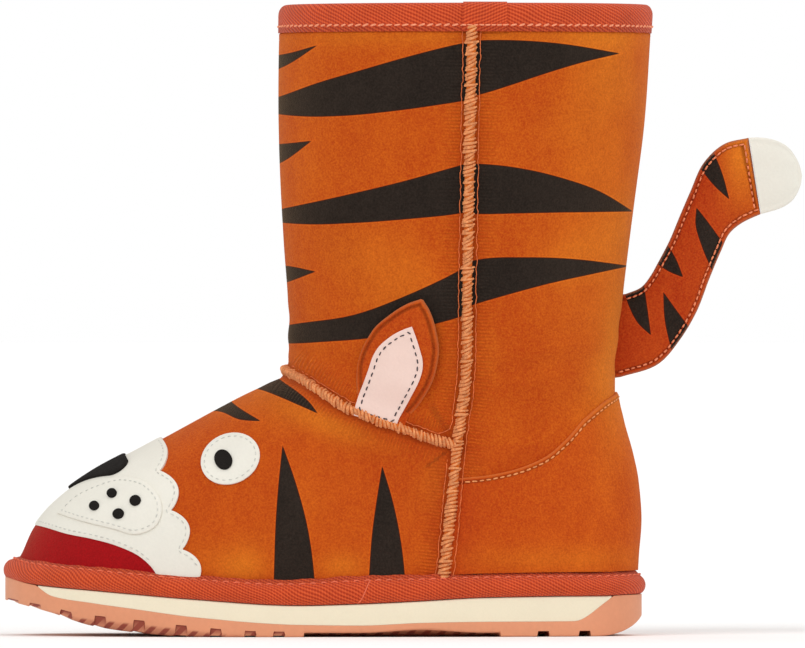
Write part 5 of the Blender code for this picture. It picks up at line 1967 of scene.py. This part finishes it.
def make_sole():
    toe, heel = sole_end("toe", SOLE_GROW), sole_end("heel", SOLE_GROW)
    corners = groove_shares(0.0)[0]
    clear = [y for y in stations(toe, heel, 170) if min(abs(y - corner) for corner in corners) > SOLE_SOFT]
    tread_y, tread_depths, tread_radii = zip(*TREAD)
    sections, notch_and_rib_shade, rims = [], [], []
    for y in sorted([*clear, *corners]):
        _, groove, waist = groove_shares(y)
        depth, radius = (float(np.interp(y, tread_y, column)) for column in (tread_depths, tread_radii))
        cut = depth * groove + WAIST_RISE * waist
        low = float(tread_height(y)) + cut
        high = min(float(sole_line("midsole", y)), float(sole_line("top", y)))
        soft_low = radius * (1 - groove) + SOLE_SOFT
        section = plate_section(y, low, high, SOLE_GROW, soft_low, SOLE_SOFT, 27, NOTCH_REACH * groove)
        left, right = edge_x(y, -1, SOLE_GROW), edge_x(y, 1, SOLE_GROW)
        half = max((right - left) / 2, 1e-6)
        from_side = half - np.abs(section[:, 0] - (left + right) / 2)
        fade = min(1.0, min(y - toe, heel - y) / CHEVRON_FADE)
        tread = section[:, 2] < low + 2 * SOLE_SOFT
        forward = y - CHEVRON * fade * np.clip(from_side / half, 0, 1)
        behind = np.clip((from_side - NOTCH_WALLS[y > 0]) / NOTCH_BACK, 0, 1)
        rib = waist * np.clip((from_side - WAIST_EDGE) / WAIST_EDGE, 0, 1)
        height = tread_height(forward) + cut + section[:, 2] - low - (depth - GROOVE_MIDDLE) * groove * behind
        section[tread, 1] = forward[tread]
        section[tread, 2] = (height + (RIB_HEIGHT - height) * rib)[tread]
        sections.append(section)
        # Painted shade under the notches' roofs and along the waist rib's edge
        roof = groove * np.clip(from_side / ROOF_EDGE, 0, 1) * (1 - 0.8 * behind)
        rib_edge = rib * np.clip(3 - from_side / WAIST_EDGE, 0, 1)
        notch_and_rib_shade.append(np.where(tread, np.maximum(roof, rib_edge), 0.0))
        rims.append(np.clip((LUG_LENGTH - from_side) / LUG_FADE, 0, 1))
    rubber = plain_material(
        "moulded_rubber", colours().rubber, 0.5, 0.05, 0.0001, specular=0.45,
        tint=("tread_shade", colours().tread), grain_scale=700.0, cloud_scale=45.0,
    )
    mesh = loft_mesh("outsole_rubber_lugs", sections)
    _, y, z = np.array([point.co for point in mesh.vertices]).T
    radius = np.interp(y, tread_y, tread_radii)
    # Painted shade of slanting lug gaps on the rounded tread edge
    below = np.clip((tread_height(y) + radius - z) / 0.0007, 0, 1)
    edge = 1.5 * below * np.clip((radius - 0.0006) / 0.0012, 0, 1) * np.ravel(rims)
    add_values(mesh, "tread_shade", np.maximum(edge, 4 * np.ravel(notch_and_rib_shade)))
    finish_piece(mesh, rubber, "outsole_rubber", ["outsole"], sharp=38)
    sections = []
    for y in stations(toe, heel, 260):
        low, high = float(sole_line("midsole", y)), float(sole_line("top", y))
        if high - low > SOLE_SOFT:
            sections.append(plate_section(y, low, high, SOLE_GROW, SOLE_SOFT, 0.0006))
    foam = plain_material(
        "moulded_foam", colours().foam, 0.6, 0.025, 0.00012, grain_scale=1500.0, cloud_scale=50.0
    )
    finish_piece(loft_mesh("midsole_foam_wedge", sections), foam, "midsole_foam", ["midsole"], sharp=40)


def make_lining():
    fleece = plain_material(
        "fleece_pile", colours().fleece, 0.95, 0.10, 0.0009, specular=0.1,
        grain_scale=850.0, cloud_scale=160.0,
    )
    top = COLLAR_TOP - COLLAR_TAPE_DEPTH + 0.0012
    levels = np.linspace(EDGE_LEVEL + 0.0012, top, 104)
    turns = np.arange(190) / 190
    level, turn = np.meshgrid(np.concatenate([levels[::2], levels[::-1]]), turns, indexing="ij")
    outer = np.arange(len(level)) < len(levels[::2])
    lumps = lumps_at(foot_surface(turn, level), FLEECE_LUMPS)
    out = np.where(outer[:, None], -SUEDE - 0.0002, -WALL + 0.0002 + 0.0007 * lumps)
    points = off_surface(turn, level, out)
    points[..., 2] = np.maximum(points[..., 2], sole_line("top", points[..., 1]) + GAP)
    finish_piece(ring_mesh("fleece_lining", points), fleece, "fleece")
    inner = points[~outer]
    sheet = new_mesh("fleece_sheet", inner.reshape(-1, 3), grid_faces(*inner.shape[:2], False, True))
    face = sheet.polygons[len(sheet.polygons) // 4]
    if face.normal.dot(Vector((0.0, 0.0, 0.1)) - face.center) < 0:
        sheet.flip_normals()
    grow("fleece_curls", sheet, fleece_tree(), "fleece", fleece, Spacing=0.0031, Pile=sizes().pile)
    grow_by = -(WALL + INSOLE_CLEARANCE)
    sections = []
    for y in stations(sole_end("toe", grow_by), sole_end("heel", grow_by), 130):
        low = float(sole_line("top", y)) + GAP
        section = plate_section(y, low, low + INSOLE - 0.0006, grow_by, 0.0006, 0.0016, 42)
        upper_half = section[:, 2] > low + INSOLE * 0.6
        section[upper_half, 2] += 0.0006 + 0.0006 * lumps_at(section, FLEECE_LUMPS)[upper_half]
        sections.append(section)
    finish_piece(loft_mesh("insole_fleece", sections), fleece, "fleece", ["insole"])


def make_stage():
    corners = [(x * FLOOR_HALF, y * FLOOR_HALF, 0) for x, y in ((-1, -1), (1, -1), (1, 1), (-1, 1))]
    floor_mesh = new_mesh("floor", corners, [[0, 1, 2, 3]])
    pale = plain_material("pale_floor", (0.98, 0.98, 0.98), 0.9, 0.002, 0.0, specular=0.1)
    floor_mesh.materials.append(pale)
    floor = add_object("floor", floor_mesh)
    floor.location.z = FLOOR_LEVEL
    world = bpy.data.worlds.new("studio")
    world.use_nodes = True
    tree = world.node_tree
    light = tree.nodes["Background"]
    light.inputs["Color"].default_value = (1.0, 0.985, 0.96, 1.0)
    light.inputs["Strength"].default_value = 0.52
    seen = shader_node(tree, "Background", {"Color": (1.0, 1.0, 1.0, 1.0), "Strength": 1.0})
    camera_ray = add_node(tree, "ShaderNodeLightPath").outputs["Is Camera Ray"]
    mixed = shader_node(tree, "MixShader", {0: camera_ray, 1: light.outputs[0], 2: seen})
    tree.links.new(mixed, tree.nodes["World Output"].inputs["Surface"])
    bpy.context.scene.world = world
    for name, turn, height, strength, width in LAMPS:
        lamp = bpy.data.lights.new(name, "SUN")
        lamp.energy = strength
        lamp.angle = math.radians(width)
        add_object(name, lamp).rotation_euler = (math.radians(90 - height), 0.0, math.radians(90 + turn))
    camera_data = bpy.data.cameras.new("photo_camera")
    camera_data.lens = CAMERA_LENS
    camera_data.sensor_width = 36.0
    camera_data.clip_end = 500.0
    camera = add_object("photo_camera", camera_data)
    camera.location = CAMERA_PLACE
    camera.rotation_euler = (math.pi / 2, 0.0, math.pi / 2)
    bpy.context.scene.camera = camera
    bpy.context.scene.view_settings.view_transform = "Standard"


# Operators, one for each group of pieces


class BOOT_OT_stage(bpy.types.Operator):
    """Make the floor, the lights and the camera"""

    bl_idname = "boot.stage"
    bl_label = "Stage"

    def execute(self, context):
        make_stage()
        return {"FINISHED"}


class BOOT_OT_sole(bpy.types.Operator):
    """Make the rubber outsole with its lugs, and the foam midsole"""

    bl_idname = "boot.sole"
    bl_label = "Sole"

    def execute(self, context):
        make_sole()
        return {"FINISHED"}


class BOOT_OT_upper(bpy.types.Operator):
    """Make the striped suede upper with its creases"""

    bl_idname = "boot.upper"
    bl_label = "Suede upper"

    def execute(self, context):
        make_upper()
        return {"FINISHED"}


class BOOT_OT_lining(bpy.types.Operator):
    """Make the fleece lining and the insole"""

    bl_idname = "boot.lining"
    bl_label = "Fleece lining"

    def execute(self, context):
        make_lining()
        return {"FINISHED"}


class BOOT_OT_counter(bpy.types.Operator):
    """Make the heel counter and its row of stitches"""

    bl_idname = "boot.counter"
    bl_label = "Heel counter"

    def execute(self, context):
        make_counter()
        return {"FINISHED"}


class BOOT_OT_tapes(bpy.types.Operator):
    """Make the collar tape, the foot tape and their stitches"""

    bl_idname = "boot.tapes"
    bl_label = "Binding tapes"

    def execute(self, context):
        make_tapes()
        return {"FINISHED"}


class BOOT_OT_seams(bpy.types.Operator):
    """Make the overlocked side seams and vamp seam"""

    bl_idname = "boot.seams"
    bl_label = "Overlocked seams"

    def execute(self, context):
        make_seams()
        return {"FINISHED"}


class BOOT_OT_ears(bpy.types.Operator):
    """Make both ears with their linings"""

    bl_idname = "boot.ears"
    bl_label = "Ears"

    def execute(self, context):
        make_ears()
        return {"FINISHED"}


class BOOT_OT_tail(bpy.types.Operator):
    """Make the padded tail, its pale tip and its stitches"""

    bl_idname = "boot.tail"
    bl_label = "Tail"

    def execute(self, context):
        make_tail()
        return {"FINISHED"}


class BOOT_OT_face(bpy.types.Operator):
    """Make the leather patches on the toe"""

    bl_idname = "boot.face"
    bl_label = "Toe patches"

    def execute(self, context):
        make_face()
        return {"FINISHED"}


OPERATORS = (
    BOOT_OT_stage, BOOT_OT_sole, BOOT_OT_upper, BOOT_OT_lining, BOOT_OT_counter, BOOT_OT_tapes,
    BOOT_OT_seams, BOOT_OT_ears, BOOT_OT_tail, BOOT_OT_face,
)


class BOOT_PT_panel(bpy.types.Panel):
    """The boot's sizes, colours and pieces"""

    bl_label = "Suede boot"
    bl_idname = "BOOT_PT_panel"
    bl_space_type = "VIEW_3D"
    bl_region_type = "UI"
    bl_category = "Boot"

    def draw(self, context):
        for group in (context.scene.boot_sizes, context.scene.boot_colours):
            column = self.layout.column()
            for name in group.__annotations__:
                column.prop(group, name)
        for operator in OPERATORS:
            self.layout.operator(operator.bl_idname)


CLASSES = (BootSizes, BootColours, *OPERATORS, BOOT_PT_panel)


def register():
    for item in CLASSES:
        bpy.utils.register_class(item)
    bpy.types.Scene.boot_sizes = bpy.props.PointerProperty(type=BootSizes)
    bpy.types.Scene.boot_colours = bpy.props.PointerProperty(type=BootColours)


def unregister():
    del bpy.types.Scene.boot_colours
    del bpy.types.Scene.boot_sizes
    for item in reversed(CLASSES):
        bpy.utils.unregister_class(item)


def main():
    register()
    for operator in OPERATORS:
        getattr(bpy.ops.boot, operator.bl_idname.split(".")[1])()


if __name__ == "__main__":
    main()
